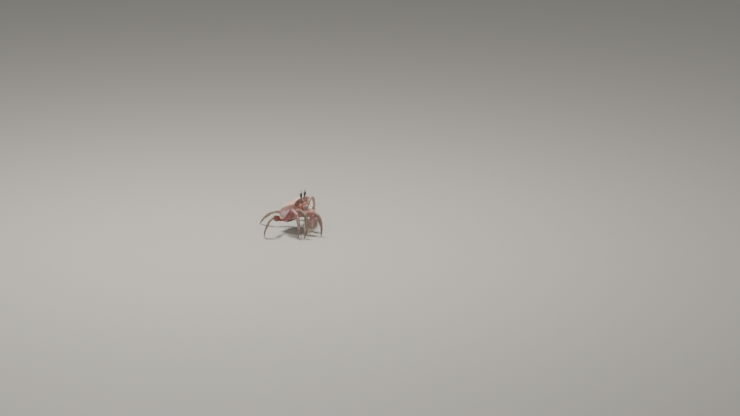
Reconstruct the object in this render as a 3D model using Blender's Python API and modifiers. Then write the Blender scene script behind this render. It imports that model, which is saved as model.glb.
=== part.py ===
"""A ghost crab at life size, standing high on its legs with the front of the body raised.

Every shell plate is a closed solid of its own: the back shell, the breast plate, the belly flap, the
face, the eyes, and each joint of the claws and walking legs. Neighbours meet at a narrow joint with a
small gap. The crab faces -Y, its right side is -X, and its eight walking legs end in small flats on
the floor at z = 0. Limbs are set out as chains of bones, bent just enough to reach from the body to
the foot, and each bone is then clothed with a lofted shell.
"""
import bpy
import bmesh
import math
from mathutils import Matrix, Vector

# ---- driving sizes, in metres ----
MM = 0.001
GAP = 0.3 * MM                # clear space where two plates meet

BODY_PLACE = (1.4, -2.9, 35.0)   # where the body's own origin stands among the feet, mm
BODY_SCALE = 1.18             # the tables below draw the body this many times smaller than it stands
BODY_PITCH = math.radians(28)    # the front of the body is raised by this much

SHELL_FRONT = -14.6           # body Y of the front margin, mm
SHELL_REAR = 17.0             # body Y of the rear margin, mm

LIMB_SIDES = 10               # corners round a leg
CLAW_SIDES = 12               # corners round a claw

FOOT_FLAT = 0.42 * MM         # half-width of the flat that each leg tip stands on
TILT_REACH = 0.3              # share of a bone over which its end cut turns square
MOST_BEND = math.radians(230)    # the tightest that a whole limb can fold

# ---- walking legs: one row for each pair, front to rear ----
# root is the leg's first joint in body coordinates on the left side; bones are the lengths of the
# base, merus, carpus, propodus and dactylus; height and thick are the half sizes of the merus; fan
# is how far forward of straight out the socket points, in degrees.
LEG_PAIRS = {
    1: dict(root=(14.2, -7.9, -8.7), fan=30, bones=(8.0, 20.0, 9.5, 16.5, 15.0), height=4.7, thick=1.9),
    2: dict(root=(15.2, -2.2, -8.7), fan=-45, bones=(8.5, 23.5, 11.5, 20.0, 17.5), height=5.6, thick=2.1),
    3: dict(root=(14.9, 3.5, -8.8), fan=-60, bones=(9.5, 24.0, 11.5, 20.5, 17.5), height=6.0, thick=2.2),
    4: dict(root=(12.3, 9.6, -8.8), fan=-20, bones=(11.5, 25.0, 9.5, 16.5, 15.0), height=4.5, thick=1.8),
}
BASE_RISE = 0.15              # how much the base of a leg slopes up, as a tangent
# How the bend from the merus to the foot is shared among the three joints between them.
BEND_SHARES = (0.45, 0.39, 0.16)
BISECTIONS = 40               # halvings used to find a limb's whole bend
OUTWARD = (0.6, 0.8)          # the way that a limb's plane leans: across the body and to the rear
HIP_RADIUS = 2.6 * MM         # ball at the root of each limb, part of the breast plate

# Where each foot stands, and how far the leg's plane leans from upright, to the rear and outward,
# in degrees.
STANCE = {
    "right_1": (-5.0, -50.0, 12),
    "right_2": (-26.0, -34.0, 12),
    "right_3": (-32.0, -26.5, 10),
    "right_4": (-46.0, 21.0, -36),
    "left_1": (42.0, -18.0, 27),
    "left_2": (66.5, 1.0, -8),
    "left_3": (56.0, 28.0, -26),
    "left_4": (17.5, 63.0, -50),
}

# ---- claws: the right one is the larger ----
CLAW_ROOT = (10.2, -10.8, -8.9)
CLAW_SHARES = (-0.05, 0.53, 0.52)
CLAWS = {
    "right": dict(size=1.0, tip=(-9.5, -27.5, 3.2), lean=4),
    "left": dict(size=0.84, tip=(9.5, -30.0, 4.6), lean=-6),
}
CLAW_BONES = (5.6, 9.2, 7.0, 26.5)      # base, merus, carpus, and palm with fingers

# ---- colours ----
TAN = (0.52, 0.43, 0.36)
ROSE = (0.42, 0.19, 0.16)
CREAM = (0.66, 0.55, 0.48)
LILAC = (0.40, 0.25, 0.27)
UMBER = (0.22, 0.13, 0.09)
BLUE_BLACK = (0.025, 0.03, 0.045)
HORN = (0.45, 0.27, 0.22)


def side_of(name):
    """-1 for the crab's right side and 1 for its left."""
    return -1 if name.startswith("right") else 1


def to_world():
    """Matrix from the body's own coordinates to the standing crab."""
    lift = Matrix.Translation(Vector(BODY_PLACE) * MM)
    return lift @ Matrix.Rotation(-BODY_PITCH, 4, "X") @ Matrix.Scale(BODY_SCALE, 4)


def follow(table, x):
    """A smooth curve through the table's (x, value) pairs, read at x."""
    xs = [row[0] for row in table]
    ys = [row[1] for row in table]
    x = min(max(x, xs[0]), xs[-1])
    i = max(k for k in range(len(xs) - 1) if xs[k] <= x)
    slopes = []
    for k in (i, i + 1):
        lo, hi = max(k - 1, 0), min(k + 1, len(xs) - 1)
        slopes.append((ys[hi] - ys[lo]) / (xs[hi] - xs[lo]))
    span = xs[i + 1] - xs[i]
    t = (x - xs[i]) / span
    return ((2 * t**3 - 3 * t**2 + 1) * ys[i] + (t**3 - 2 * t**2 + t) * span * slopes[0]
            + (3 * t**2 - 2 * t**3) * ys[i + 1] + (t**3 - t**2) * span * slopes[1])


def shell_material(name, colour, roughness):
    """A plain shell finish."""
    material = bpy.data.materials.new(name)
    material.use_nodes = True
    shader = material.node_tree.nodes["Principled BSDF"]
    shader.inputs["Base Color"].default_value = (*colour, 1.0)
    shader.inputs["Roughness"].default_value = roughness
    shader.inputs["Metallic"].default_value = 0.0
    return material


def loft(name, rings, colour, roughness=0.45):
    """A closed solid through rings of equally many points, flat or pointed at each end."""
    mesh = bpy.data.meshes.new(name)
    bm = bmesh.new()
    rows = [[bm.verts.new(p) for p in ring] for ring in rings]
    for row, following in zip(rows, rows[1:]):
        count = len(row)
        for k in range(count):
            bm.faces.new((row[k], row[(k + 1) % count], following[(k + 1) % count], following[k]))
    bm.faces.new(rows[0])
    bm.faces.new(rows[-1])
    bmesh.ops.triangulate(bm, faces=[f for f in bm.faces if len(f.verts) > 4])
    bmesh.ops.recalc_face_normals(bm, faces=bm.faces)
    bm.to_mesh(mesh)
    bm.free()
    mesh.shade_smooth()
    mesh.set_sharp_from_angle(angle=math.radians(40))
    mesh.materials.append(shell_material(name, colour, roughness))
    obj = bpy.data.objects.new(name, mesh)
    crab.objects.link(obj)
    obj.parent = stand
    return obj


# ---- limbs ----

class Bone:
    """One straight length of a limb: its ends, its outer (up) and side directions, its end cuts."""

    def __init__(self, start, end, up, side, cut_start, cut_end):
        self.start = start
        self.along = (end - start).normalized()
        self.length = (end - start).length
        self.up = up
        self.side = side
        self.cut_start = cut_start
        self.cut_end = cut_end

    def point(self, t, rise, across):
        """The point at share t of the length; near a joint it slides onto the joint's own plane."""
        near_start = max(0.0, 1 - t / TILT_REACH) ** 2
        near_end = max(0.0, 1 - (1 - t) / TILT_REACH) ** 2
        slide = rise * (self.cut_end * near_end - self.cut_start * near_start)
        return self.start + self.along * (t * self.length + slide) + self.up * rise + self.side * across


def bent_corners(bones, shares, chord):
    """Corners of a chain of bones in its own plane, bent so that its ends are one chord apart."""

    def corners(whole):
        heading = 0.0
        points = [Vector((0, 0))]
        for length, share in zip(bones, (0, *shares)):
            heading -= share * whole
            points.append(points[-1] + length * Vector((math.cos(heading), math.sin(heading))))
        return points

    low, high = 0.0, MOST_BEND
    for _ in range(BISECTIONS):
        middle = (low + high) / 2
        if corners(middle)[-1].length > chord:
            low = middle
        else:
            high = middle
    return corners(high), high


def limb(root, tip, bones, shares, lean):
    """Bones of a limb from root to tip; its plane leans by lean (radians) to the rear and outward."""
    line = tip - root
    corners, whole = bent_corners(bones, shares, line.length)
    forward = line.normalized()
    up = (Vector((0, 0, 1)) - forward * forward.z).normalized()
    outward = forward.cross(up)
    if outward.dot(Vector((math.copysign(OUTWARD[0], root.x), OUTWARD[1], 0))) < 0:
        outward = -outward
    up = up * math.cos(lean) + outward * math.sin(lean)
    side = forward.cross(up)
    turn = math.atan2(corners[-1].y, corners[-1].x)
    places = []
    for corner in corners:
        x = corner.x * math.cos(turn) + corner.y * math.sin(turn)
        y = corner.y * math.cos(turn) - corner.x * math.sin(turn)
        places.append(root + forward * x + up * y)
    cuts = [0.0] + [math.tan(share * whole / 2) for share in shares] + [0.0]
    chain = []
    for k, (start, end) in enumerate(zip(places, places[1:])):
        along = (end - start).normalized()
        chain.append(Bone(start, end, side.cross(along), side, cuts[k], cuts[k + 1]))
    return chain


def ring(bone, t, rise, fall, half, sides, centre=0.0):
    """A closed outline round the bone: it reaches rise above, fall below and half to each side."""
    points = []
    for k in range(sides):
        angle = 2 * math.pi * (k + 0.5) / sides
        height = (rise if math.cos(angle) > 0 else fall) * math.cos(angle)
        points.append(bone.point(t, centre + height, half * math.sin(angle)))
    return points


def clothe(bone, stations, height, thick, sides, bow=0.0):
    """Rings along a bone from (share, rise, fall, half) stations given as shares of the sizes."""
    trim = GAP / 2 / bone.length
    rings = []
    for share, rise, fall, half in stations:
        t = trim + share * (1 - 2 * trim)
        centre = bow * math.sin(math.pi * share)
        rings.append(ring(bone, t, rise * height, fall * height, half * thick, sides, centre))
    return rings


LEG_BASE = ((0.0, 0.36, 0.36, 0.80), (0.25, 0.42, 0.42, 0.98), (0.5, 0.37, 0.37, 0.85),
            (0.78, 0.42, 0.42, 0.92))
LEG_MERUS = ((0.0, 0.46, 0.46, 0.85), (0.12, 0.62, 0.66, 0.95), (0.32, 0.90, 0.92, 1.0),
             (0.58, 1.0, 1.0, 1.0), (0.82, 0.86, 0.84, 0.95), (0.95, 0.68, 0.60, 0.85),
             (1.0, 0.50, 0.42, 0.70))
LEG_CARPUS = ((0.0, 0.46, 0.38, 0.66), (0.18, 0.62, 0.42, 0.85), (0.6, 0.66, 0.50, 0.95),
              (0.9, 0.62, 0.50, 0.85), (1.0, 0.46, 0.40, 0.66))
LEG_PROPODUS = ((0.0, 0.44, 0.38, 0.62), (0.15, 0.58, 0.50, 0.82), (0.5, 0.56, 0.50, 0.85),
                (0.85, 0.44, 0.40, 0.70), (1.0, 0.33, 0.30, 0.52))
LEG_DACTYLUS = ((0.0, 0.31, 0.28, 0.50), (0.12, 0.38, 0.34, 0.60), (0.4, 0.30, 0.28, 0.52),
                (0.75, 0.19, 0.18, 0.36))
TOE_BOW = 0.3 * MM            # how far the toe's middle arches out of line
TOE_END = 0.985               # share of the toe where it narrows to its flat


def hip_bone(side, fan, root, tip, length, up):
    """The base of a leg, pointing halfway between straight out of its socket and its foot."""
    socket = Vector((side * math.cos(fan), -math.sin(fan), 0))
    ahead = Vector((tip.x - root.x, tip.y - root.y, 0)).normalized()
    along = ((socket + ahead).normalized() + Vector((0, 0, BASE_RISE))).normalized()
    across = along.cross(up).normalized()
    return Bone(root, root + along * length, across.cross(along), across, 0.0, 0.0)


def clear_of_hip(base):
    """The base bone shortened to start just outside the ball that it turns on."""
    start = base.start + base.along * (HIP_RADIUS + GAP)
    end = base.start + base.along * base.length
    return Bone(start, end, base.up, base.side, base.cut_start, base.cut_end)


def stand_on_floor(outline, along):
    """The outline slid along the leg until every point lies on the floor."""
    return [p - along * (p.z / along.z) for p in outline]


def walking_leg(name, pair, foot):
    """The four plates of one walking leg."""
    side = side_of(name)
    x, y, z = pair["root"]
    root = to_world() @ Vector((side * x * MM, y * MM, z * MM))
    tip = Vector((foot[0] * MM, foot[1] * MM, 0))
    bones = [length * MM for length in pair["bones"]]
    height, thick = pair["height"] * MM, pair["thick"] * MM
    base = hip_bone(side, math.radians(pair["fan"]), root, tip, bones[0], Vector((0, 0, 1)))
    knee_chain = limb(base.point(1, 0, 0), tip, bones[1:], BEND_SHARES, math.radians(foot[2]))
    merus, carpus, propodus, dactylus = knee_chain
    base = hip_bone(side, math.radians(pair["fan"]), root, tip, bones[0], merus.up)
    base = clear_of_hip(base)
    upper = clothe(base, LEG_BASE, height, thick, LIMB_SIDES)
    upper += clothe(merus, LEG_MERUS, height, thick, LIMB_SIDES)
    loft(f"leg_{name}_merus", upper, ROSE)
    loft(f"leg_{name}_carpus", clothe(carpus, LEG_CARPUS, height, thick, LIMB_SIDES), LILAC)
    loft(f"leg_{name}_propodus", clothe(propodus, LEG_PROPODUS, height, thick, LIMB_SIDES), LILAC)
    toe = clothe(dactylus, LEG_DACTYLUS, height, thick, LIMB_SIDES, bow=TOE_BOW)
    tip_ring = ring(dactylus, TOE_END, FOOT_FLAT, FOOT_FLAT, FOOT_FLAT, LIMB_SIDES)
    toe.append(stand_on_floor(tip_ring, dactylus.along))
    loft(f"leg_{name}_dactylus", toe, UMBER)


CLAW_HEIGHT = 6.4 * MM
CLAW_THICK = 3.6 * MM
CLAW_BASE = ((0.0, 0.36, 0.36, 0.62), (0.4, 0.38, 0.38, 0.66), (0.7, 0.34, 0.34, 0.60))
CLAW_MERUS = ((0.0, 0.31, 0.31, 0.54), (0.2, 0.41, 0.41, 0.70), (0.6, 0.54, 0.54, 0.83),
              (0.88, 0.52, 0.50, 0.81), (1.0, 0.36, 0.32, 0.59))
CLAW_CARPUS = ((0.0, 0.32, 0.31, 0.56), (0.2, 0.52, 0.41, 0.79), (0.6, 0.59, 0.47, 0.90),
               (0.88, 0.50, 0.41, 0.77), (1.0, 0.36, 0.31, 0.56))
# Along the hand: share, outer and inner edges as shares of the claw's height, and thickness.
PALM = ((0.0, 0.36, -0.32, 0.56), (0.08, 0.62, -0.54, 0.80), (0.22, 0.90, -0.84, 1.0),
        (0.40, 1.0, -0.98, 1.0), (0.50, 0.97, -1.0, 0.92), (0.535, 0.06, -0.99, 0.74),
        (0.62, -0.16, -0.94, 0.62), (0.75, -0.20, -0.80, 0.48), (0.88, -0.17, -0.58, 0.34),
        (1.0, -0.14, -0.30, 0.12))
FINGER = ((0.545, 0.92, 0.20, 0.62), (0.60, 0.98, 0.16, 0.66), (0.70, 0.88, 0.10, 0.58),
          (0.82, 0.62, 0.02, 0.44), (0.92, 0.32, -0.02, 0.30), (0.995, 0.06, -0.08, 0.12))


def hand_rings(bone, stations, height, thick):
    """Rings across the hand, each between an outer and an inner edge."""
    rings = []
    for share, outer, inner, half in stations:
        t = max(share, GAP / 2 / bone.length)
        middle, reach = (outer + inner) / 2 * height, (outer - inner) / 2 * height
        rings.append(ring(bone, t, reach, reach, half * thick, CLAW_SIDES, middle))
    return rings


def claw_arm(side_name, claw):
    """The arm, the hand with its fixed finger, and the movable finger of one claw."""
    side, size = side_of(side_name), claw["size"]
    x, y, z = CLAW_ROOT
    root = to_world() @ Vector((side * x * MM, y * MM, z * MM))
    tip = Vector(claw["tip"]) * MM
    bones = [length * MM for length in CLAW_BONES[:3]] + [CLAW_BONES[3] * size * MM]
    height, thick = CLAW_HEIGHT * size, CLAW_THICK * size
    base, merus, carpus, hand = limb(root, tip, bones, CLAW_SHARES, math.radians(claw["lean"]))
    base = clear_of_hip(base)
    upper = clothe(base, CLAW_BASE, height, thick, LIMB_SIDES)
    upper += clothe(merus, CLAW_MERUS, height, thick, LIMB_SIDES)
    loft(f"claw_{side_name}_merus", upper, ROSE)
    loft(f"claw_{side_name}_carpus", clothe(carpus, CLAW_CARPUS, height, thick, LIMB_SIDES), ROSE)
    loft(f"claw_{side_name}_palm", hand_rings(hand, PALM, height, thick), CREAM)
    loft(f"claw_{side_name}_finger", hand_rings(hand, FINGER, height, thick), CREAM)


# ---- back shell ----
# Tables along the body, from front to rear: body Y and value, in millimetres.
RIM_WIDTH = ((-14.6, 19.4), (-11.0, 20.0), (-6.0, 19.8), (0.0, 19.0), (6.0, 17.4), (11.0, 15.2),
             (15.0, 12.6), (17.0, 10.2))
RIM_HEIGHT = ((-14.6, 5.2), (-8.0, 6.2), (0.0, 6.8), (8.0, 5.4), (14.0, 2.4), (17.0, 0.0))
BACK_HEIGHT = ((-14.6, 8.2), (-10.0, 10.2), (-3.0, 11.0), (4.0, 10.8), (10.0, 8.8), (14.5, 5.2),
               (17.0, 1.4))
FOOT_WIDTH = ((-14.6, 15.5), (-8.0, 15.8), (0.0, 15.0), (8.0, 13.4), (14.0, 10.8), (17.0, 8.8))
FOOT_HEIGHT = ((-14.6, 0.6), (-11.5, -3.0), (-8.0, -6.0), (-4.0, -6.2), (10.0, -6.2),
               (14.0, -5.6), (17.0, -4.4))
ARCH_SHARES = (0, 0.28, 0.55, 0.8, 0.95)     # corners of the arch, as shares of the half width
ARCH_POWER = 2.6              # how square the arch of the back is
SHELL_STATIONS = 15
FRONT_LOBE = 2.4              # how far the lobe between the eyes stands out, mm
LOBE_HALF = 2.9               # half width of that lobe, mm
ORBIT_CORNER = 1.6            # how far the outer corners of the orbits stand out, mm
CORNER_START = 13.5           # half width at which those corners begin, mm
CORNER_RUN = 6.0              # and how far they take to reach full length, mm
FRONT_FADE = 7.0              # length behind the front margin over which its shape fades out, mm
FRONT_TUCK = 0.42             # how far the front wall slopes back, as a share of the drop below the crest
HOLLOW_SHARE = 0.30           # how much smaller the orbit hollow is than the front margin
HOLLOW_DEPTH = 1.3 * MM
HOLLOW_HEIGHT = 4.0 * MM      # body Z of the middle of the hollow


def front_margin(x):
    """How far the front edge stands forward of its mean line at x (mm): lobe, orbits and corners."""
    lobe = FRONT_LOBE * math.exp(-((x / LOBE_HALF) ** 4))
    corner = ORBIT_CORNER * max(0.0, (abs(x) - CORNER_START) / CORNER_RUN) ** 2
    return -(lobe + corner)


def shell_section(y):
    """Half outline of the shell at body Y, from the middle of the back to the middle of the base."""
    rim, foot = follow(RIM_WIDTH, y), follow(FOOT_WIDTH, y)
    rim_z, back_z, foot_z = follow(RIM_HEIGHT, y), follow(BACK_HEIGHT, y), follow(FOOT_HEIGHT, y)
    arch = back_z - rim_z
    back = [(share * rim, rim_z + arch * (1 - share ** ARCH_POWER)) for share in ARCH_SHARES]
    wall = [(rim, rim_z - 0.9), (rim * 0.4 + foot * 0.6, (rim_z + foot_z) / 2 - 0.3),
            (foot, foot_z + 0.8)]
    base = [(foot * 0.94, foot_z), (foot * 0.5, foot_z)]
    return back + wall + base


def place(name, rings, colour, roughness=0.45):
    """A loft given in the body's coordinates, set on the standing crab."""
    matrix = to_world()
    return loft(name, [[matrix @ p for p in points] for points in rings], colour, roughness)


def back_shell():
    """The back with its side walls; the front edge overhangs the orbits."""
    rings = []
    for k in range(SHELL_STATIONS):
        share = k / (SHELL_STATIONS - 1)
        y = SHELL_FRONT + (SHELL_REAR - SHELL_FRONT) * (0.5 - 0.5 * math.cos(math.pi * share))
        half = shell_section(y)
        outline = half + [(0, half[-1][1])] + [(-x, z) for x, z in reversed(half[1:])]
        fade = max(0.0, 1 - (y - SHELL_FRONT) / FRONT_FADE) ** 2
        crest = follow(BACK_HEIGHT, y)
        points = []
        for x, z in outline:
            tuck = fade * FRONT_TUCK * (crest - z)
            points.append(Vector((x, y + fade * front_margin(x) + tuck, z)) * MM)
        rings.append(points)
    hollow = []
    for point in rings[0]:
        centre = Vector((0, point.y, HOLLOW_HEIGHT))
        hollow.append(point.lerp(centre, HOLLOW_SHARE) + Vector((0, HOLLOW_DEPTH, 0)))
    rings.insert(0, hollow)
    return place("carapace", rings, TAN)


# ---- underside ----

def slab(y, top, bottom, wide_top, wide_bottom):
    """A section across the body, in mm: flat on top, with its lower corners drawn in."""
    half = [(0, top), (wide_top, top), (wide_top, top - 0.35 * (top - bottom)),
            (wide_bottom, bottom + 0.15 * (top - bottom)), (wide_bottom * 0.6, bottom), (0, bottom)]
    outline = half + [(-x, z) for x, z in reversed(half[1:-1])]
    return [Vector((x, y, z)) * MM for x, z in outline]


# Body Y, top, underside, and half widths at the top and the underside, in mm.
BREAST = ((-9.4, -6.6, -10.4, 11.8, 7.0), (-5.0, -6.6, -11.3, 13.6, 8.5),
          (3.0, -6.6, -11.5, 13.6, 8.8), (8.5, -6.6, -11.2, 12.3, 8.0),
          (13.0, -6.4, -9.8, 9.0, 5.8), (15.4, -5.8, -8.2, 6.0, 4.0))
FACE = ((-15.8, 1.6, -2.6, 8.2, 6.4), (-14.4, 1.3, -5.0, 9.2, 6.4), (-12.4, -1.2, -8.0, 9.2, 6.0),
        (-11.2, -3.2, -9.6, 7.9, 5.8), (-9.8, -5.4, -10.2, 7.6, 5.6))


def breast_plate():
    """The breast plate, one piece with the ten balls that the limbs turn on."""
    plate = place("sternum", [slab(*row) for row in BREAST], CREAM)
    roots = [pair["root"] for pair in LEG_PAIRS.values()] + [CLAW_ROOT]
    for x, y, z in roots:
        for side in (-1, 1):
            mesh = bpy.data.meshes.new("hip")
            bm = bmesh.new()
            bmesh.ops.create_icosphere(bm, subdivisions=2, radius=HIP_RADIUS)
            bm.to_mesh(mesh)
            bm.free()
            ball = bpy.data.objects.new("hip", mesh)
            ball.location = to_world() @ Vector((side * x * MM, y * MM, z * MM))
            ball.parent = stand
            ball.hide_render = True
            ball.display_type = "WIRE"
            hips.objects.link(ball)
    union = plate.modifiers.new("hips", "BOOLEAN")
    union.operation = "UNION"
    union.solver = "EXACT"
    union.operand_type = "COLLECTION"
    union.collection = hips
    return plate


# Belly flap, along the curve of its middle: body Y, body Z, and half width, in mm.
FLAP = ((17.0, -5.4, 7.6), (17.0, -8.4, 7.4), (14.6, -11.2, 6.8), (10.0, -12.4, 5.6),
        (4.0, -12.6, 4.2), (-1.5, -12.5, 2.8), (-5.0, -12.3, 1.6), (-7.0, -12.0, 0.8))
FLAP_THICK = 1.0 * MM
FLAP_EDGE = 0.7               # the flap's edges are this share of its full thickness


def belly_flap():
    """The abdomen, folded forward under the body."""
    rings = []
    for k, (y, z, half) in enumerate(FLAP):
        before, after = FLAP[max(k - 1, 0)], FLAP[min(k + 1, len(FLAP) - 1)]
        run = Vector((0, after[0] - before[0], after[1] - before[1])).normalized()
        out = Vector((1, 0, 0)).cross(run)
        middle = Vector((0, y, z)) * MM
        points = []
        for x, lift in ((-1, FLAP_EDGE), (-0.5, 1), (0, 1.1), (0.5, 1), (1, FLAP_EDGE),
                        (1, -FLAP_EDGE), (0, -1), (-1, -FLAP_EDGE)):
            points.append(middle + Vector((x * half * MM, 0, 0)) + out * (lift * FLAP_THICK / 2))
        rings.append(points)
    return place("abdomen", rings, CREAM)


MOUTH_TOP = Vector((0, -16.8, -2.2)) * MM
MOUTH_FOOT = Vector((0, -13.0, -11.0)) * MM
MOUTH_HALF = ((0.0, 2.0), (0.12, 2.7), (0.5, 3.0), (0.88, 2.6), (1.0, 1.8))   # share, half width
MOUTH_MIDDLE = 3.25 * MM      # distance of a plate's middle from the body's middle
MOUTH_THICK = 0.55 * MM
MOUTH_SIDES = 8


def mouth_plate(side_name):
    """One of the two plates that close the mouth."""
    side = side_of(side_name)
    run = (MOUTH_FOOT - MOUTH_TOP).normalized()
    out = Vector((1, 0, 0)).cross(run)
    rings = []
    for share, half in MOUTH_HALF:
        middle = MOUTH_TOP.lerp(MOUTH_FOOT, share) + Vector((side * MOUTH_MIDDLE, 0, 0))
        points = []
        for k in range(MOUTH_SIDES):
            angle = 2 * math.pi * (k + 0.5) / MOUTH_SIDES
            points.append(middle + Vector((half * MM * math.cos(angle), 0, 0))
                          + out * (MOUTH_THICK * math.sin(angle)))
        rings.append(points)
    return place(f"mouth_plate_{side_name}", rings, CREAM)


# ---- eyes and feelers ----
EYE_ROOT = (3.9, -15.3, 4.2)             # foot of the left stalk in body coordinates, mm
EYE_LEAN = Vector((0.10, -0.06, 1.0))    # direction of the left stalk on the standing crab
STALK = ((0.0, 0.8), (0.9, 1.15), (3.0, 0.95), (5.2, 1.0), (6.5, 1.3))     # height and radius, mm
CORNEA = ((6.8, 1.3), (7.5, 1.6), (8.9, 1.85), (10.7, 1.8), (12.3, 1.4), (13.2, 0.9))
STYLUS = ((13.5, 0.75), (14.5, 0.72), (16.1, 0.52), (17.5, 0.3))
EYE_SIDES = 12
FEELER = ((6.4, -16.6, 0.4), (7.3, -17.7, 1.8), (8.6, -18.6, 3.6), (10.2, -19.0, 5.6))
FEELER_RADIUS = (0.75, 0.45, 0.32, 0.26)
FEELER_RESOLUTION = 2


def turned(name, foot, direction, profile, colour, roughness=0.45):
    """A round solid of (height, radius) stations, in mm, along a direction from its foot."""
    outline = [(0.0, profile[-1][0])] + [(radius, height) for height, radius in reversed(profile)]
    outline.append((0.0, profile[0][0]))
    mesh = bpy.data.meshes.new(name)
    bm = bmesh.new()
    points = [bm.verts.new((radius * MM, 0, height * MM)) for radius, height in outline]
    for upper, lower in zip(points, points[1:]):
        bm.edges.new((upper, lower))
    bm.to_mesh(mesh)
    bm.free()
    mesh.materials.append(shell_material(name, colour, roughness))
    obj = bpy.data.objects.new(name, mesh)
    obj.location = foot
    obj.rotation_euler = direction.to_track_quat("Z", "Y").to_euler()
    crab.objects.link(obj)
    obj.parent = stand
    screw = obj.modifiers.new("turn", "SCREW")
    screw.steps = screw.render_steps = EYE_SIDES
    screw.use_merge_vertices = True
    screw.merge_threshold = 0.01 * MM
    screw.use_smooth_shade = True


def eye(side_name):
    """Stalk, cornea and the horn above it."""
    side = side_of(side_name)
    x, y, z = EYE_ROOT
    foot = to_world() @ Vector((side * x * MM, y * MM, z * MM))
    direction = Vector((side * EYE_LEAN.x, EYE_LEAN.y, EYE_LEAN.z))
    turned(f"eyestalk_{side_name}", foot, direction, STALK, ROSE)
    turned(f"eye_{side_name}", foot, direction, CORNEA, BLUE_BLACK, roughness=0.12)
    turned(f"eye_horn_{side_name}", foot, direction, STYLUS, HORN)


def feeler(side_name):
    """A short antenna beside the eye."""
    side = side_of(side_name)
    name = f"antenna_{side_name}"
    matrix = to_world()
    curve = bpy.data.curves.new(name, "CURVE")
    curve.dimensions = "3D"
    curve.bevel_depth = BODY_SCALE * MM
    curve.bevel_resolution = FEELER_RESOLUTION
    curve.use_fill_caps = True
    curve.materials.append(shell_material(name, HORN, 0.45))
    spline = curve.splines.new("POLY")
    spline.points.add(len(FEELER) - 1)
    for point, (x, y, z), radius in zip(spline.points, FEELER, FEELER_RADIUS):
        point.co = (*(matrix @ Vector((side * x * MM, y * MM, z * MM))), 1.0)
        point.radius = radius
    obj = bpy.data.objects.new(name, curve)
    crab.objects.link(obj)
    obj.parent = stand


# ---- assembly ----
for old in list(bpy.data.objects):
    bpy.data.objects.remove(old, do_unlink=True)
crab = bpy.data.collections.new("ghost_crab")
bpy.context.scene.collection.children.link(crab)
hips = bpy.data.collections.new("hip_balls")
bpy.context.scene.collection.children.link(hips)
stand = bpy.data.objects.new("crab_frame", None)
crab.objects.link(stand)

back_shell()
breast_plate()
place("face", [slab(*row) for row in FACE], ROSE)
belly_flap()
for side_name in ("right", "left"):
    mouth_plate(side_name)
    eye(side_name)
    feeler(side_name)
    claw_arm(side_name, CLAWS[side_name])
for leg_name, foot_place in STANCE.items():
    walking_leg(leg_name, LEG_PAIRS[int(leg_name[-1])], foot_place)

# The frame's origin is the middle of the whole crab's box, on the floor; the legs reach furthest.
legs = [obj for obj in crab.objects if obj.name.startswith("leg_")]
corners = [v.co for leg in legs for v in leg.data.vertices]
middle_x = (min(c.x for c in corners) + max(c.x for c in corners)) / 2
middle_y = (min(c.y for c in corners) + max(c.y for c in corners)) / 2
stand.location = (-middle_x, -middle_y, 0)
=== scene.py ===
"""The looks of the ghost crab: fine shell surfaces, eyes, joint skins, bristles and a plain stage."""
import math

import bpy
import numpy as np
from mathutils import Matrix, Vector


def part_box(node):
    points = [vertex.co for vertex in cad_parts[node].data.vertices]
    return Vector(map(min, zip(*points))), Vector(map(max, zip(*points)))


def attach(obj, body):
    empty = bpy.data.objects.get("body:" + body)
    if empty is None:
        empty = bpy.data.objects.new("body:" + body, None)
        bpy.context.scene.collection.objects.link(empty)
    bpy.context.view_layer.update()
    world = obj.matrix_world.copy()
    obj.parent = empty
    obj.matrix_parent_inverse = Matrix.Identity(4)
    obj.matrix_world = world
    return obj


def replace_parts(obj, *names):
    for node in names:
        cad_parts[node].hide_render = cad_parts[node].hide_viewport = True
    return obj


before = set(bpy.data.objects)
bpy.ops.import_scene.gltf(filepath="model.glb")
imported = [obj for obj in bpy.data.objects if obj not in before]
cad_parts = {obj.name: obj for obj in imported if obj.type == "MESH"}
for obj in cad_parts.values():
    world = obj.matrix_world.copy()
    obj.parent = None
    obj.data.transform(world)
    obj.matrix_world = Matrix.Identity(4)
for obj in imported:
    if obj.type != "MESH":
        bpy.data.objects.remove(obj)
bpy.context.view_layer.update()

# ---- stage ----
# A pale, even floor that runs on well past the crab, one broad soft lamp high over it, a weaker one
# low in front, and a cool even sky.
FLOOR_SPAN, FLOOR_TONE, FLOOR_ROUGHNESS, FLOOR_SHINE = 80, (0.42, 0.40, 0.36, 1), 0.95, 0.1
SKY_TONE, SKY_STRENGTH = (0.93, 0.96, 1.0, 1), 0.33
LAMPS = {
    "overhead": dict(place=(-0.16, 0.09, 1.1), aim=(0, 0, 0.02), size=0.30, power=17.6,
                     tone=(1.0, 0.975, 0.94)),
    "front fill": dict(place=(-1.3, -0.5, 0.8), aim=(0, 0, 0.03), size=0.7, power=6.0,
                       tone=(0.96, 0.97, 1.0)),
}

bpy.ops.mesh.primitive_plane_add(size=FLOOR_SPAN)
floor = bpy.context.object
floor.name = "floor"
floor_finish = bpy.data.materials.new("floor")
floor_finish.use_nodes = True
floor_shader = floor_finish.node_tree.nodes["Principled BSDF"]
floor_shader.inputs["Base Color"].default_value = FLOOR_TONE
floor_shader.inputs["Roughness"].default_value = FLOOR_ROUGHNESS
floor_shader.inputs["Specular IOR Level"].default_value = FLOOR_SHINE
floor.data.materials.append(floor_finish)

sky = bpy.data.worlds.new("sky")
sky.use_nodes = True
sky.node_tree.nodes["Background"].inputs["Color"].default_value = SKY_TONE
sky.node_tree.nodes["Background"].inputs["Strength"].default_value = SKY_STRENGTH
bpy.context.scene.world = sky

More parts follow.
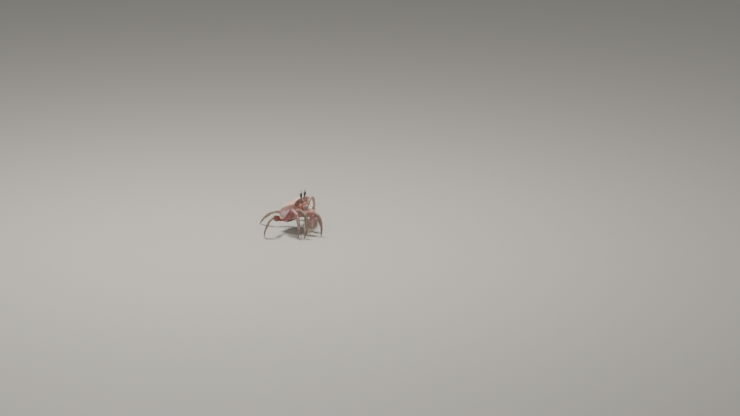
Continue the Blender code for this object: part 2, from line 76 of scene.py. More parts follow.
for name, kind in LAMPS.items():
    lamp = bpy.data.lights.new(name, "AREA")
    lamp.size = kind["size"]
    lamp.energy = kind["power"]
    lamp.color = kind["tone"]
    holder = bpy.data.objects.new(name, lamp)
    holder.location = kind["place"]
    holder.rotation_euler = (Vector(kind["aim"]) - Vector(kind["place"])).to_track_quat("-Z", "Y").to_euler()
    bpy.context.scene.collection.objects.link(holder)

# ---- back shell ----
# The crab's broad back with its side walls: one hard plate, arched, covered in fine granules, with a
# beaded edge along each side and over the deep hollows that the eyes fold into.
MM = 0.001
BODY_PITCH = math.radians(28)
BODY_PLACE, BODY_SCALE = (1.4, -2.9, 35.0), 1.18
SHELL_FRONT, SHELL_REAR = -14.6, 17.0
# Each pair is a place along the body and the size there: half widths, and heights, in the body's mm.
RIM_WIDTH = ((-14.6, 19.4), (-11.0, 20.0), (-6.0, 19.8), (0.0, 19.0), (6.0, 17.4), (11.0, 15.2),
             (15.0, 12.6), (17.0, 10.2))
RIM_HEIGHT = ((-14.6, 5.2), (-8.0, 6.2), (0.0, 6.8), (8.0, 5.4), (14.0, 2.4), (17.0, 0.0))
BACK_HEIGHT = ((-14.6, 8.2), (-10.0, 10.2), (-3.0, 11.0), (4.0, 10.8), (10.0, 8.8), (14.5, 5.2),
               (17.0, 1.4))
FOOT_WIDTH = ((-14.6, 15.5), (-8.0, 15.8), (0.0, 15.0), (8.0, 13.4), (14.0, 10.8), (17.0, 8.8))
FOOT_HEIGHT = ((-14.6, 0.6), (-11.5, -3.0), (-8.0, -6.0), (-4.0, -6.2), (10.0, -6.2),
               (14.0, -5.6), (17.0, -4.4))
# The front edge: its lobe, the bay over each orbit, and the corners, which sweep back from a width on.
FRONT_LOBE, LOBE_HALF, FRONT_FADE = 2.4, 2.9, 7.0
BAY_PLACE, BAY_HALF, BAY_DEPTH = 5.6, 2.2, 0.5
SWEEP_START, SWEEP_WIDTH, SWEEP_DEPTH = 13.5, 6.0, 1.6
# The relief: depth of the grooves, heights of grains and beads, and what an edge adds to the grains.
GROOVE_DEPTH, SIDE_BEAD, ORBIT_BEAD = 0.38, 0.30, 0.20
FINE_GRAIN, FINE_HEIGHT, FINE_AT_EDGE = 0.62, 0.055, 0.05
COARSE_GRAIN, COARSE_HEIGHT, COARSE_AT_EDGE = 1.15, 0.05, 0.10
SIDE_PITCH, ORBIT_PITCH = 0.85, 0.8
ARCH_COLUMNS, WALL_COLUMNS, BASE_COLUMNS, SHELL_ROWS = 104, 46, 16, 156
# Rows that close the front round the orbits: how much smaller, and how much deeper, in mm.
HOLLOW = ((0.992, -0.12), (0.975, -0.05), (0.95, 0.3), (0.91, 1.1), (0.87, 2.2), (0.82, 3.2),
          (0.72, 4.0), (0.55, 4.5), (0.35, 4.7), (0.15, 4.8))
REAR_ROLL = ((0.99, 0.25), (0.95, 0.45), (0.86, 0.5), (0.6, 0.4), (0.3, 0.3), (0.1, 0.3))
HOLLOW_MIDDLE, REAR_MIDDLE = 4.0, -1.6

# Where the body stands: the solids' shell gives the place, so the crab keeps to wherever it was packed.
nose_tip = Vector((0, SHELL_FRONT - FRONT_LOBE, BACK_HEIGHT[0][1]))
nose = Matrix.Rotation(-BODY_PITCH, 3, "X") @ nose_tip * BODY_SCALE
crab_x = (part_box("carapace")[0].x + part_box("carapace")[1].x) / 2 - BODY_PLACE[0] * MM
crab_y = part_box("carapace")[0].y - (nose.y + BODY_PLACE[1]) * MM
lift = Matrix.Translation(Vector((crab_x, crab_y, 0)) + Vector(BODY_PLACE) * MM)
body = np.array(lift @ Matrix.Rotation(-BODY_PITCH, 4, "X") @ Matrix.Scale(BODY_SCALE, 4))


def set_on_body(points):
    """Points given in the body's own millimetres, in the crab's frame."""
    return points * MM @ body[:3, :3].T + body[:3, 3]


def unit(vectors):
    """Vectors made one unit long."""
    return vectors / np.maximum(np.linalg.norm(vectors, axis=-1, keepdims=True), 1e-12)


def follow(table, x):
    """Smooth curves through a table's rows, read at every x: a row is an x and a value or more."""
    xs, *ys = np.array(table, float).T
    x = np.clip(x, xs[0], xs[-1])
    i = np.clip(np.searchsorted(xs, x, side="right") - 1, 0, len(xs) - 2)
    low, high = np.maximum(np.arange(len(xs)) - 1, 0), np.minimum(np.arange(len(xs)) + 1, len(xs) - 1)
    span = xs[i + 1] - xs[i]
    t = (x - xs[i]) / span
    curves = []
    for y in ys:
        slope = (y[high] - y[low]) / (xs[high] - xs[low])
        curves.append((2 * t**3 - 3 * t**2 + 1) * y[i] + (t**3 - 2 * t**2 + t) * span * slope[i]
                      + (3 * t**2 - 2 * t**3) * y[i + 1] + (t**3 - t**2) * span * slope[i + 1])
    return curves if len(curves) > 1 else curves[0]


def step(low, high, x):
    """0 below low, 1 above high, and a smooth rise between."""
    t = np.clip((x - low) / (high - low), 0, 1)
    return t * t * (3 - 2 * t)


def stretch(x, start, full, wane, end):
    """1 from full to wane and 0 outside start and end, smooth between."""
    return step(start, full, x) * (1 - step(wane, end, x))


def bell(x, middle, width):
    """1 where x is at the middle, falling off smoothly to both sides over a width."""
    return np.exp(-(((x - middle) / width) ** 2))


def waves(x, pitch):
    """Rounded swells from 0 to 1, one to each pitch."""
    return np.abs(np.cos(math.pi * x / pitch))


def chance(*cells):
    """Numbers from 0 to 1 that look random but depend only on the cells."""
    mixed = sum(cell * weight for cell, weight in zip(cells, (12.9898, 78.233, 37.719, 54.381)))
    return np.mod(np.sin(mixed) * 43758.5453, 1.0)


def grains(points, size, seed):
    """Rounded grains strewn through space about `size` apart, where the points meet them; 0 to 1."""
    smallest, extra = 0.30, 0.28
    spots = points / size
    cell = np.floor(spots)
    best = np.zeros(points.shape[:-1])
    for offset in np.ndindex(3, 3, 3):
        c = cell + np.array(offset) - 1
        jitter = np.stack([chance(c[..., 0], c[..., 1], c[..., 2], seed + k) for k in range(3)], -1)
        reach = smallest + extra * chance(c[..., 2], c[..., 0], c[..., 1], seed + 5)
        gap = ((spots - c - 0.2 - 0.6 * jitter) ** 2).sum(-1) / reach**2
        best = np.maximum(best, np.sqrt(np.clip(1 - gap, 0, 1)) * reach / (smallest + extra))
    return best


def drift(points, size, seed):
    """Soft, cloudy variation about `size` across; -1 to 1."""
    total = np.zeros(points.shape[:-1])
    for k in range(5):
        turn = unit(np.array([chance(seed, k, j) - 0.5 for j in range(3)]))
        total += np.sin(points @ turn * (2 * math.pi / size) * (1 + 0.33 * k) + 6.28 * chance(seed, k, 9))
    return total / 3


def outward(points):
    """The outward normals of a grid whose columns run round."""
    across = np.roll(points, -1, 1) - np.roll(points, 1, 1)
    normal = unit(np.cross(across, np.gradient(points, axis=0)))
    return normal * np.sign(((points - points.mean(axis=(0, 1))) * normal).sum())


def raised(points, height):
    """A grid moved outward along its own normals by a height."""
    return points + outward(points) * height[..., None]


def settle(piece, finish):
    """Put a finished mesh object into the scene as part of the crab."""
    piece.data.materials.append(finish.material)
    bpy.context.scene.collection.objects.link(piece)
    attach(piece, "root")
    return piece


def skin(name, points, fields, finish):
    """A closed smooth mesh over a grid whose columns run round and whose end rows close to a point.
    Each field gives every point of the grid a number that the finish can read."""
    rows, columns = points.shape[:2]
    ends = np.stack([points[0].mean(0), points[-1].mean(0)])
    vertices = np.concatenate([points.reshape(-1, 3), ends])
    index = np.arange(rows * columns).reshape(rows, columns)
    turned = np.roll(index, -1, 1)
    quads = np.stack([index[:-1], turned[:-1], turned[1:], index[1:]], -1).reshape(-1, 4).tolist()
    first = [[rows * columns, int(b), int(a)] for a, b in zip(index[0], turned[0])]
    last = [[rows * columns + 1, int(a), int(b)] for a, b in zip(index[-1], turned[-1])]
    faces = quads + first + last
    q = vertices[np.array(quads)]
    if (np.cross(q[:, 1] - q[:, 0], q[:, 2] - q[:, 0]) * (q[:, 0] - ends.mean(0))).sum() < 0:
        faces = [face[::-1] for face in faces]
    mesh = bpy.data.meshes.new(name)
    mesh.from_pydata(vertices.tolist(), [], faces)
    mesh.shade_smooth()
    for field, values in fields.items():
        values = np.broadcast_to(values, (rows, columns))
        filled = np.concatenate([values.ravel(), [values[0].mean(), values[-1].mean()]])
        mesh.attributes.new(field, "FLOAT", "POINT").data.foreach_set("value", filled.astype(np.float32))
    return settle(bpy.data.objects.new(name, mesh), finish)


class Value:
    """A shader socket used in sums: an expression on it adds the Math nodes it needs."""

    def __init__(self, tree, socket):
        self.tree = tree
        self.socket = socket

    def math(self, operation, first, second):
        node = self.tree.nodes.new("ShaderNodeMath")
        node.operation = operation
        for socket, term in zip(node.inputs, (first, second)):
            if isinstance(term, Value):
                self.tree.links.new(term.socket, socket)
            else:
                socket.default_value = term
        return Value(self.tree, node.outputs[0])

    def __add__(self, other):
        return self.math("ADD", self, other)

    def __sub__(self, other):
        return self.math("SUBTRACT", self, other)

    def __rsub__(self, other):
        return self.math("SUBTRACT", other, self)

    def __mul__(self, other):
        return self.math("MULTIPLY", self, other)

    __radd__, __rmul__ = __add__, __mul__


class Finish:
    """A material in the making: its Principled shader and the nodes that feed it."""

    def __init__(self, name, coat=0.0, specular=0.5, roughness=None):
        self.material = bpy.data.materials.new(name)
        self.material.use_nodes = True
        self.tree = self.material.node_tree
        self.shader = self.tree.nodes["Principled BSDF"]
        self.put("Coat Weight", coat)
        self.put("Coat Roughness", 0.25)
        self.put("Specular IOR Level", specular)
        if roughness is not None:
            self.put("Roughness", roughness)
        self.place = self.node("TexCoord", output="Object")

    def put(self, socket, value):
        """Link or set a socket of the shader, by its name, or of another node."""
        socket = self.shader.inputs[socket] if isinstance(socket, str) else socket
        if isinstance(value, Value):
            self.tree.links.new(value.socket, socket)
        elif isinstance(value, tuple) and len(value) == 3 and socket.type == "RGBA":
            socket.default_value = (*value, 1)
        else:
            socket.default_value = value

    def node(self, kind, settings=None, inputs=None, output=0):
        """Any node but Math, made from its type, settings and inputs."""
        node = self.tree.nodes.new("ShaderNode" + kind)
        for setting, value in (settings or {}).items():
            setattr(node, setting, value)
        for socket, value in (inputs or {}).items():
            self.put(node.inputs[socket], value)
        return Value(self.tree, node.outputs[output])

    def field(self, name):
        return self.node("Attribute", {"attribute_name": name}, output="Fac")

    def blend(self, first, second, share):
        return self.node("Mix", {"data_type": "RGBA", "blend_type": "MIX", "clamp_factor": True},
                         {0: share, 6: first, 7: second}, output=2)

    def noise(self, scale, detail=4.0, roughness=0.55, stretch=None):
        place = self.place
        if stretch:
            place = self.node("Mapping", inputs={"Vector": place, "Scale": stretch})
        return self.node("TexNoise", inputs={"Vector": place, "Scale": scale, "Detail": detail,
                                             "Roughness": roughness}, output="Fac")

    def between(self, value, low, high):
        """0 where the value is below low, 1 above high, smooth between."""
        return self.node("MapRange", {"interpolation_type": "SMOOTHSTEP"},
                         {"Value": value, "From Min": low, "From Max": high})

    def bump(self, height, strength, distance):
        """A fine relief of the given height field, distance in metres."""
        inputs = {"Height": height, "Strength": strength, "Distance": distance}
        self.put("Normal", self.node("Bump", inputs=inputs))


def shell_finish(name, high, low, dark, grain, rosy=(0.30, 0.10, 0.08), coat=0.12, tip=None):
    """Hard shell: a mottled pair of colours, darker blotches, pale grains and redder grooves. It turns
    rosy where the blush field is high, and to the tip's colour, if any, where the reach field is.
    That colour is the real paler fingers on the hands, but a painted pale violet highlight on the
    back's side walls and on right_3's thigh, and painted light in the orbit hollows."""
    finish = Finish(name, coat)
    cloud = finish.between(finish.noise(130, 5), 0.38, 0.64)
    speck = finish.between(finish.noise(900, 3), 0.52, 0.72)
    blotch = finish.between(finish.noise(330, 4), 0.55, 0.75)
    colour = finish.blend(high, low, cloud)
    colour = finish.blend(colour, dark, speck * 0.45 + blotch * 0.35)
    colour = finish.blend(colour, rosy, finish.field("blush") * 0.85)
    colour = finish.blend(colour, dark, finish.field("groove") * 0.8)
    colour = finish.blend(colour, grain, finish.field("grain") * 0.55)
    if tip:
        tip_and_sheen = finish.between(finish.field("reach") + cloud * 0.16, 0.56, 0.86)
        colour = finish.blend(colour, tip, tip_and_sheen * 0.9)
    finish.put("Base Color", colour)
    finish.put("Roughness", 0.56 - finish.field("grain") * 0.16 + speck * 0.10)
    finish.bump(finish.noise(1500, 4, 0.6) + finish.noise(4200, 3) * 0.5, 0.55, 0.00012)
    return finish


# The back's tip colour is a painted pale violet highlight on its side walls, and painted light in the orbit
# hollows.
back_finish = shell_finish("back shell", (0.60, 0.48, 0.385), (0.47, 0.35, 0.28), (0.22, 0.12, 0.09),
                           (0.74, 0.64, 0.55), rosy=(0.60, 0.27, 0.235), tip=(0.80, 0.61, 0.745))

# Half of each cross-section: from the crest over the arch, down the wall and in under the base.
row_share = np.linspace(0, 1, SHELL_ROWS) ** 0.92
row_y = SHELL_FRONT + (SHELL_REAR - SHELL_FRONT) * (0.5 - 0.5 * np.cos(math.pi * row_share))
rim, foot, rim_z, foot_z, crest = (follow(table, row_y)[:, None] for table in
                                   (RIM_WIDTH, FOOT_WIDTH, RIM_HEIGHT, FOOT_HEIGHT, BACK_HEIGHT))
arch_share = np.linspace(0, 1, ARCH_COLUMNS)[None, :]
arch_x = arch_share * rim
arch_z = rim_z + (crest - rim_z) * (1 - arch_share**2.6)
wall_share = np.linspace(0, 1, WALL_COLUMNS + 1)[None, 1:]
bulge = np.sin(math.pi * wall_share)
wall_x = rim + (foot - rim) * wall_share**1.35 + 0.25 * bulge
wall_z = rim_z + (foot_z - rim_z) * wall_share - 0.15 * bulge
base_share = np.linspace(0, 1, BASE_COLUMNS + 1)[None, 1:]
base_x = foot * (1 - base_share)
base_z = foot_z - 0.25 * np.sin(math.pi * base_share**0.5) + 0 * base_x
half_x = np.concatenate([arch_x, wall_x, base_x], 1)
half_z = np.concatenate([arch_z, wall_z, base_z], 1)
shell_x = np.concatenate([half_x, -half_x[:, -2:0:-1]], 1)
shell_z = np.concatenate([half_z, half_z[:, -2:0:-1]], 1)
# kind tells the parts apart: 0 to 1 over the arch, 1 to 2 down the wall, 2 to 3 under the base.
half_kind = np.concatenate([arch_share[0], 1 + wall_share[0], 2 + base_share[0]])
kind = np.concatenate([half_kind, half_kind[-2:0:-1]])[None, :]

# The front edge: a lobe between the eyes, a shallow bay over each orbit and swept-back corners.
beside = np.abs(shell_x)
fade = np.clip(1 - (row_y[:, None] - SHELL_FRONT) / FRONT_FADE, 0, 1) ** 2
lobe = FRONT_LOBE * np.exp(-((shell_x / LOBE_HALF) ** 4))
swept = SWEEP_DEPTH * np.clip((beside - SWEEP_START) / SWEEP_WIDTH, 0, None) ** 2
bay = BAY_DEPTH * bell(beside, BAY_PLACE, BAY_HALF) * (kind <= 1)
shell_y = row_y[:, None] + fade * (-(lobe + swept) + bay + 0.42 * (crest - shell_z))
shell = np.stack([shell_x, shell_y, shell_z], -1)

# The back's relief: the H-shaped groove, slanting furrows, swellings, granules and the side's beads.
on_top = 1 - step(0.93, 1.0, kind)
h_sides = bell(beside, 4.1 + 0.016 * (shell_y - 1) ** 2, 0.55) * stretch(shell_y, -7, -4, 8, 11)
h_bar = bell(shell_y, 2.2 + 0.05 * shell_x**2, 0.6) * (1 - step(3.6, 4.8, beside))
slant = bell(beside, 8.6 - 1.05 * (shell_y + 6.0), 0.7) * stretch(beside, 4.6, 6, 14, 17)
groove = np.maximum(np.maximum(h_sides, 0.9 * h_bar), 0.7 * slant) * on_top
swell = (0.42 * bell(beside, 11, 5.0) * bell(shell_y, 3, 7.5)
         + 0.30 * bell(shell_x, 0, 3.4) * bell(shell_y, -5.5, 4.0)
         + 0.22 * bell(shell_x, 0, 3.0) * bell(shell_y, 7.5, 3.0)) * on_top
fine = grains(shell, FINE_GRAIN, 1)
coarse = grains(shell, COARSE_GRAIN, 2)
near_edge = stretch(kind, 0.62, 0.97, 1.0, 1.12) + step(-9.5, -14, shell_y) * on_top
side_bead = bell(kind, 0.985, 0.016) * (0.45 + 0.55 * waves(shell_y, SIDE_PITCH))
wall_relief = stretch(kind, 1.02, 1.15, 2.0, 2.15)
relief = (swell - GROOVE_DEPTH * groove + SIDE_BEAD * side_bead
          + fine * (FINE_HEIGHT + FINE_AT_EDGE * near_edge + FINE_AT_EDGE * wall_relief)
          + coarse * (COARSE_HEIGHT + COARSE_AT_EDGE * near_edge) * on_top)

# Its colours: rosy down the wall and over the front of the back, with a painted pale violet highlight on the
# wall.
wall_blush = step(0.99, 1.12, kind) * (0.78 - 0.25 * step(-6, 6, shell_y) + 0.22 * drift(shell, 6.0, 3))
front_blush = step(2.0, -5.0, shell_y) * step(0.20, 0.65, kind) * (0.85 + 0.25 * drift(shell, 5.0, 6))
top_blush = np.maximum(0.25 * step(0.8, 0.99, kind), front_blush) * on_top
wall_highlight = stretch(kind, 1.05, 1.35, 1.98, 2.1) * stretch(shell_y, -4, 4, 10, 14)
grain_field = np.clip(0.55 * fine + 0.5 * coarse * on_top + side_bead, 0, 1)

# Closing rows: in and back round the two orbits, which a thin wall parts, and rolled under at the rear.
front_middle = np.stack([0 * shell_x[0], shell_y[0], 0 * shell_x[0] + HOLLOW_MIDDLE], -1)
inward = (0.12 + 0.88 * step(1.9, 4.4, np.abs(shell_x[0])))[:, None] * (0, 1, 0)
rear_middle = np.array((0, SHELL_REAR, REAR_MIDDLE))
front_rows = [front_middle + (shell[0] - front_middle) * share + depth * inward for share, depth in HOLLOW]
rear_rows = [rear_middle + (shell[-1] - rear_middle) * share + (0, depth, 0) for share, depth in REAR_ROLL]
shell = np.concatenate([front_rows[::-1], shell, rear_rows])
ahead, behind = len(HOLLOW), len(REAR_ROLL)
fade_in, fade_out = np.linspace(0, 0.8, ahead), np.linspace(0.8, 0, behind)


def padded(values, front=0, rear=0):
    """A field of the shell's own rows, carried on over the closing rows by the shares given."""
    values = np.broadcast_to(values, (SHELL_ROWS, shell.shape[1]))
    front, rear = np.broadcast_to(front, ahead), np.broadcast_to(rear, behind)
    return np.concatenate([np.multiply.outer(front, values[0]), values, np.multiply.outer(rear, values[-1])])


along_edge = np.cumsum(np.r_[0, np.linalg.norm(np.diff(shell[ahead], axis=0), axis=1)])
orbit_row = bell(np.arange(len(shell)), ahead - 1.2, 1.5)[:, None]
orbit_bead = orbit_row * (0.4 + 0.6 * waves(along_edge, ORBIT_PITCH))
relief = padded(relief, fade_in, fade_out) + ORBIT_BEAD * orbit_bead
hollow = padded(0.0)
hollow[:ahead] = step(0, 6, np.arange(ahead)[::-1] - 1.0)[:, None]
shell = raised(shell, relief)
# Reach carries the painted highlight on the wall; in the orbit hollows grain and reach paint light to offset
# their shade, while their rosy blush is the shell's own colour.
back_fields = {
    "grain": np.clip(padded(grain_field, fade_in) + 0.7 * orbit_bead + 0.7 * hollow, 0, 1),
    "groove": padded(groove),
    "blush": np.clip(padded(wall_blush + top_blush, 1, 1) + hollow, 0, 1),
    "reach": np.maximum(padded(wall_highlight) * (0.78 + 0.13 * drift(shell, 9.0, 4)), 0.50 * hollow),
}
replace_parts(skin("shell_back", set_on_body(shell), back_fields, back_finish), "carapace")
back_points, wall_column = set_on_body(shell) / MM, int(np.argmin(np.abs(half_kind - 1.86)))

# ---- walking legs ----
# Eight legs of hard tubes: a short base, a long flat thigh, a wrist, a shin and a horny toe. Each is
# a plate of its own with rolled ends, strung on a chain of bones that bends to reach the foot.
LEG_PAIRS = {
    1: dict(root=(14.2, -7.9, -8.7), fan=30, bones=(8.0, 20.0, 9.5, 16.5, 15.0), height=4.7, thick=1.9),
    2: dict(root=(15.2, -2.2, -8.7), fan=-45, bones=(8.5, 23.5, 11.5, 20.0, 17.5), height=5.6, thick=2.1),
    3: dict(root=(14.9, 3.5, -8.8), fan=-60, bones=(9.5, 24.0, 11.5, 20.5, 17.5), height=6.0, thick=2.2),
    4: dict(root=(12.3, 9.6, -8.8), fan=-20, bones=(11.5, 25.0, 9.5, 16.5, 15.0), height=4.5, thick=1.8),
}
# How steeply each base rises, and how the bend is shared out over knee, wrist and toe.
BASE_RISE, BEND_SHARES = 0.15, (0.45, 0.39, 0.16)
# Where each foot stands, from the crab's own middle in mm, and how far the leg leans, in degrees.
STANCE = {
    "right_1": (-5.0, -50.0, 12), "right_2": (-26.0, -34.0, 12), "right_3": (-32.0, -26.5, 10),
    "right_4": (-46.0, 21.0, -36), "left_1": (42.0, -18.0, 27), "left_2": (66.5, 1.0, -8),
    "left_3": (56.0, 28.0, -26), "left_4": (17.5, 63.0, -50),
}
SIDES = {"right": -1, "left": 1}
HIP_RADIUS, PLATE_GAP = 2.6, 0.3      # in mm; the gap is what the soft skin at a joint bridges
# Along each plate: share of its length, rise, fall and half width as shares of the leg's own sizes.
LEG_BASE = ((0.0, 0.36, 0.36, 0.80), (0.25, 0.42, 0.42, 0.98), (0.5, 0.38, 0.38, 0.88),
            (0.8, 0.44, 0.44, 0.95), (1.0, 0.42, 0.42, 0.85))
LEG_MERUS = ((0.0, 0.46, 0.46, 0.85), (0.12, 0.62, 0.66, 0.95), (0.32, 0.90, 0.92, 1.0),
             (0.58, 1.0, 1.0, 1.0), (0.82, 0.86, 0.84, 0.95), (0.95, 0.68, 0.60, 0.85),
             (1.0, 0.50, 0.42, 0.70))
LEG_CARPUS = ((0.0, 0.46, 0.38, 0.66), (0.18, 0.62, 0.42, 0.85), (0.6, 0.66, 0.50, 0.95),
              (0.9, 0.62, 0.50, 0.85), (1.0, 0.46, 0.40, 0.66))
LEG_PROPODUS = ((0.0, 0.44, 0.38, 0.62), (0.15, 0.58, 0.50, 0.82), (0.5, 0.56, 0.50, 0.85),
                (0.85, 0.44, 0.40, 0.70), (1.0, 0.33, 0.30, 0.52))
LEG_DACTYLUS = ((0.0, 0.31, 0.28, 0.50), (0.12, 0.38, 0.34, 0.60), (0.4, 0.30, 0.28, 0.52),
                (0.75, 0.19, 0.18, 0.36), (1.0, 0.095, 0.095, 0.21))
# How the plates between base and toe are worked. A bead row is an angle from the upper edge, width,
# pitch, height and sharpness; a furrow is an angle, width and depth; grain is size, height and seed.
LEG_WORK = {
    "merus": dict(piece="thigh", shape=LEG_MERUS, pitch=0.19, keel=0.22, start=0.55, grain=(0.62, 0.05, 3),
                  beads=((0, 0.16, 1.15, 0.24, 2.0), (math.pi - 0.22, 0.13, 0.95, 0.16, 2.0),
                         (math.pi + 0.22, 0.13, 0.95, 0.16, 2.0)),
                  furrows=((math.pi, 0.16, 0.12),), flush=0.3),
    "carpus": dict(piece="wrist", shape=LEG_CARPUS, pitch=0.18, keel=0.10, start=PLATE_GAP / 2,
                   grain=(0.6, 0.05, 4), beads=[(angle, 0.16, 0.8, 0.13, 1.0) for angle in (0.35, -0.35)],
                   furrows=((0, 0.2, 0.14), (math.pi / 2, 0.3, 0.10)), flush=0.3),
    "propodus": dict(piece="shin", shape=LEG_PROPODUS, pitch=0.18, keel=0.12, start=PLATE_GAP / 2,
                     grain=(0.55, 0.045, 5),
                     beads=[(angle, 0.15, 0.75, 0.12, 1.0)
                            for angle in (0.55, -0.55, math.pi - 0.5, math.pi + 0.5)],
                     furrows=[(angle, 0.24, 0.10) for angle in (0, math.pi, math.pi / 2, -math.pi / 2)],
                     flush=0.25),
}
# Each leg's colours: the thigh's light, deep and dark tones, then the light and deep tones below it.
# They differ from leg to leg as painted light and shade: the thighs of left_1 and left_2 are painted
# pale against the shade they stand in, and those of right_3 and right_4 a deep red for the shade under the
# body.
LEG_LIGHT_AND_SHADE_TONES = {
    "right_1": ((0.38, 0.19, 0.165), (0.27, 0.115, 0.10), (0.12, 0.055, 0.045),
                (0.31, 0.20, 0.17), (0.20, 0.125, 0.105)),
    "right_2": ((0.42, 0.22, 0.20), (0.29, 0.13, 0.12), (0.13, 0.06, 0.05),
                (0.24, 0.205, 0.15), (0.15, 0.125, 0.09)),
    "right_3": ((0.32, 0.105, 0.105), (0.21, 0.055, 0.06), (0.10, 0.03, 0.03),
                (0.44, 0.265, 0.25), (0.31, 0.19, 0.175)),
    "right_4": ((0.32, 0.11, 0.085), (0.22, 0.07, 0.055), (0.10, 0.035, 0.03),
                (0.36, 0.28, 0.23), (0.22, 0.16, 0.13)),
    "left_3": ((0.52, 0.33, 0.28), (0.38, 0.22, 0.18), (0.18, 0.09, 0.075),
               (0.42, 0.32, 0.26), (0.28, 0.20, 0.16)),
    "left_4": ((0.44, 0.27, 0.23), (0.32, 0.18, 0.15), (0.15, 0.08, 0.065),
               (0.38, 0.31, 0.25), (0.25, 0.19, 0.15)),
    "left": ((0.80, 0.64, 0.54), (0.66, 0.48, 0.40), (0.32, 0.19, 0.16),
             (0.58, 0.46, 0.38), (0.42, 0.31, 0.25)),
}
# The leg whose thigh gets a painted pale violet highlight along its upper edge, and that highlight's colour.
SHEEN_PAINTED_LEG, PAINTED_SHEEN_TONE = "right_3", (0.66, 0.44, 0.50)
# Rows that roll a plate's end inward: how much smaller, and how much further in, in mm.
LIP = ((0.975, -0.05), (0.93, -0.03), (0.87, 0.10), (0.80, 0.32), (0.60, 0.45), (0.25, 0.5))
SKIN_RINGS = np.linspace(-1, 1, 15)
# The toe: rows that make way for its flat end, its bow, and where its ribs and furrows lie round it.
TOE_CUT, TOE_BOW = 3, 0.3
TOE_FURROWS = [0.52 + k * math.pi / 3 for k in range(6)]


class Bone:
    """One straight length of a limb, in mm: its ends, its up and side directions, its end cuts."""

    def __init__(self, start, end, up, side, cuts):
        self.start, self.up, self.side, self.cuts = start, up, side, cuts
        self.length = np.linalg.norm(end - start)
        self.along = (end - start) / self.length

    def point(self, share, rise, across):
        """Points at shares of the length; near a joint they slide onto the joint's own plane."""
        near = [np.clip(1 - s / 0.3, 0, 1) ** 2 for s in (share, 1 - share)]
        run = share * self.length + rise * (self.cuts[1] * near[1] - self.cuts[0] * near[0])
        return (self.start + run[..., None] * self.along + rise[..., None] * self.up
                + across[..., None] * self.side)


def on_side(place, side):
    """A place given on the left of the body, set on either side, in the scene's millimetres."""
    return set_on_body(np.array(place) * (side, 1, 1)) / MM


def around(count, shift=0.0):
    """Evenly spaced angles once round."""
    return 2 * math.pi * (np.arange(count) + shift) / count


def squared(wave, power):
    """A sine or cosine pushed out toward its corners, for rings that are nearly rectangles."""
    return np.sign(wave) * np.abs(wave) ** power


def ovals(line, columns, wide, across, deep, other, power=1.0):
    """Rings round the points of a line, from half sizes along two directions."""
    turn = around(columns)
    wide, deep = (np.reshape(half, (-1, 1)) for half in (wide, deep))
    return (line[:, None] + (wide * np.cos(turn))[..., None] * across
            + (deep * squared(np.sin(turn), power))[..., None] * other)


def limb(side, root, tip, bones, shares, lean):
    """Bones of a limb, bent to reach from root to tip; its plane leans to the rear and outward."""
    def corners(whole):
        heading = -np.cumsum([0, *shares]) * whole
        steps = np.stack([np.cos(heading), np.sin(heading)], 1) * np.array(bones)[:, None]
        return np.vstack([(0, 0), np.cumsum(steps, axis=0)])

    low, high = 0.0, math.radians(230)
    for _ in range(40):
        middle = (low + high) / 2
        if np.linalg.norm(corners(middle)[-1]) > np.linalg.norm(tip - root):
            low = middle
        else:
            high = middle
    ahead = unit(tip - root)
    up = unit(np.array((0, 0, 1)) - ahead * ahead[2])
    outside = np.cross(ahead, up)
    if outside @ (0.6 * side, 0.8, 0) < 0:
        outside = -outside
    up = up * math.cos(lean) + outside * math.sin(lean)
    across = np.cross(ahead, up)
    flat = corners(high)
    turn = unit(flat[-1])
    joints = root + np.outer(flat @ turn, ahead) + np.outer(flat @ (-turn[1], turn[0]), up)
    cuts = [0.0] + [math.tan(share * high / 2) for share in shares] + [0.0]
    return [Bone(start, end, np.cross(across, unit(end - start)), across, cuts[k:k + 2])
            for k, (start, end) in enumerate(zip(joints, joints[1:]))]


def hip_bone(side, fan, root, tip, length, up):
    """The base of a leg, pointing halfway between straight out of its socket and its foot."""
    ahead = unit((tip - root)[:2])
    along = np.array((side * math.cos(fan) + ahead[0], -math.sin(fan) + ahead[1], 0))
    along = unit(unit(along) + (0, 0, BASE_RISE))
    across = unit(np.cross(along, up))
    return Bone(root, root + along * length, np.cross(across, along), across, (0.0, 0.0))


def outline(bone, share, rise, fall, half, columns, keel=0.0):
    """Rings round a bone, one for each share; keel draws the upper and lower edges sharper."""
    angle = around(columns, 0.5)
    share, rise, fall, half = (np.asarray(v, float)[:, None] for v in (share, rise, fall, half))
    height = np.where(np.cos(angle) > 0, rise, fall) * np.cos(angle)
    across = half * np.sin(angle) * (1 - keel * np.abs(np.cos(angle)) ** 3)
    return bone.point(share + 0 * height, height, across)


def shrunk(ring, share, shift=0.0):
    """A ring drawn in toward its own middle and shifted."""
    return ring.mean(0) + (ring - ring.mean(0)) * share + shift


def rolled(rows, tip=False):
    """Rows of a plate with its ends rolled inward; a tip stays open for its own ending."""
    run = unit(rows[-1].mean(0) - rows[0].mean(0))
    front = [shrunk(rows[0], s, run * d) for s, d in LIP[::-1]]
    if tip:
        return np.concatenate([front, rows])
    return np.concatenate([front, rows, [shrunk(rows[-1], s, -run * d) for s, d in LIP]])


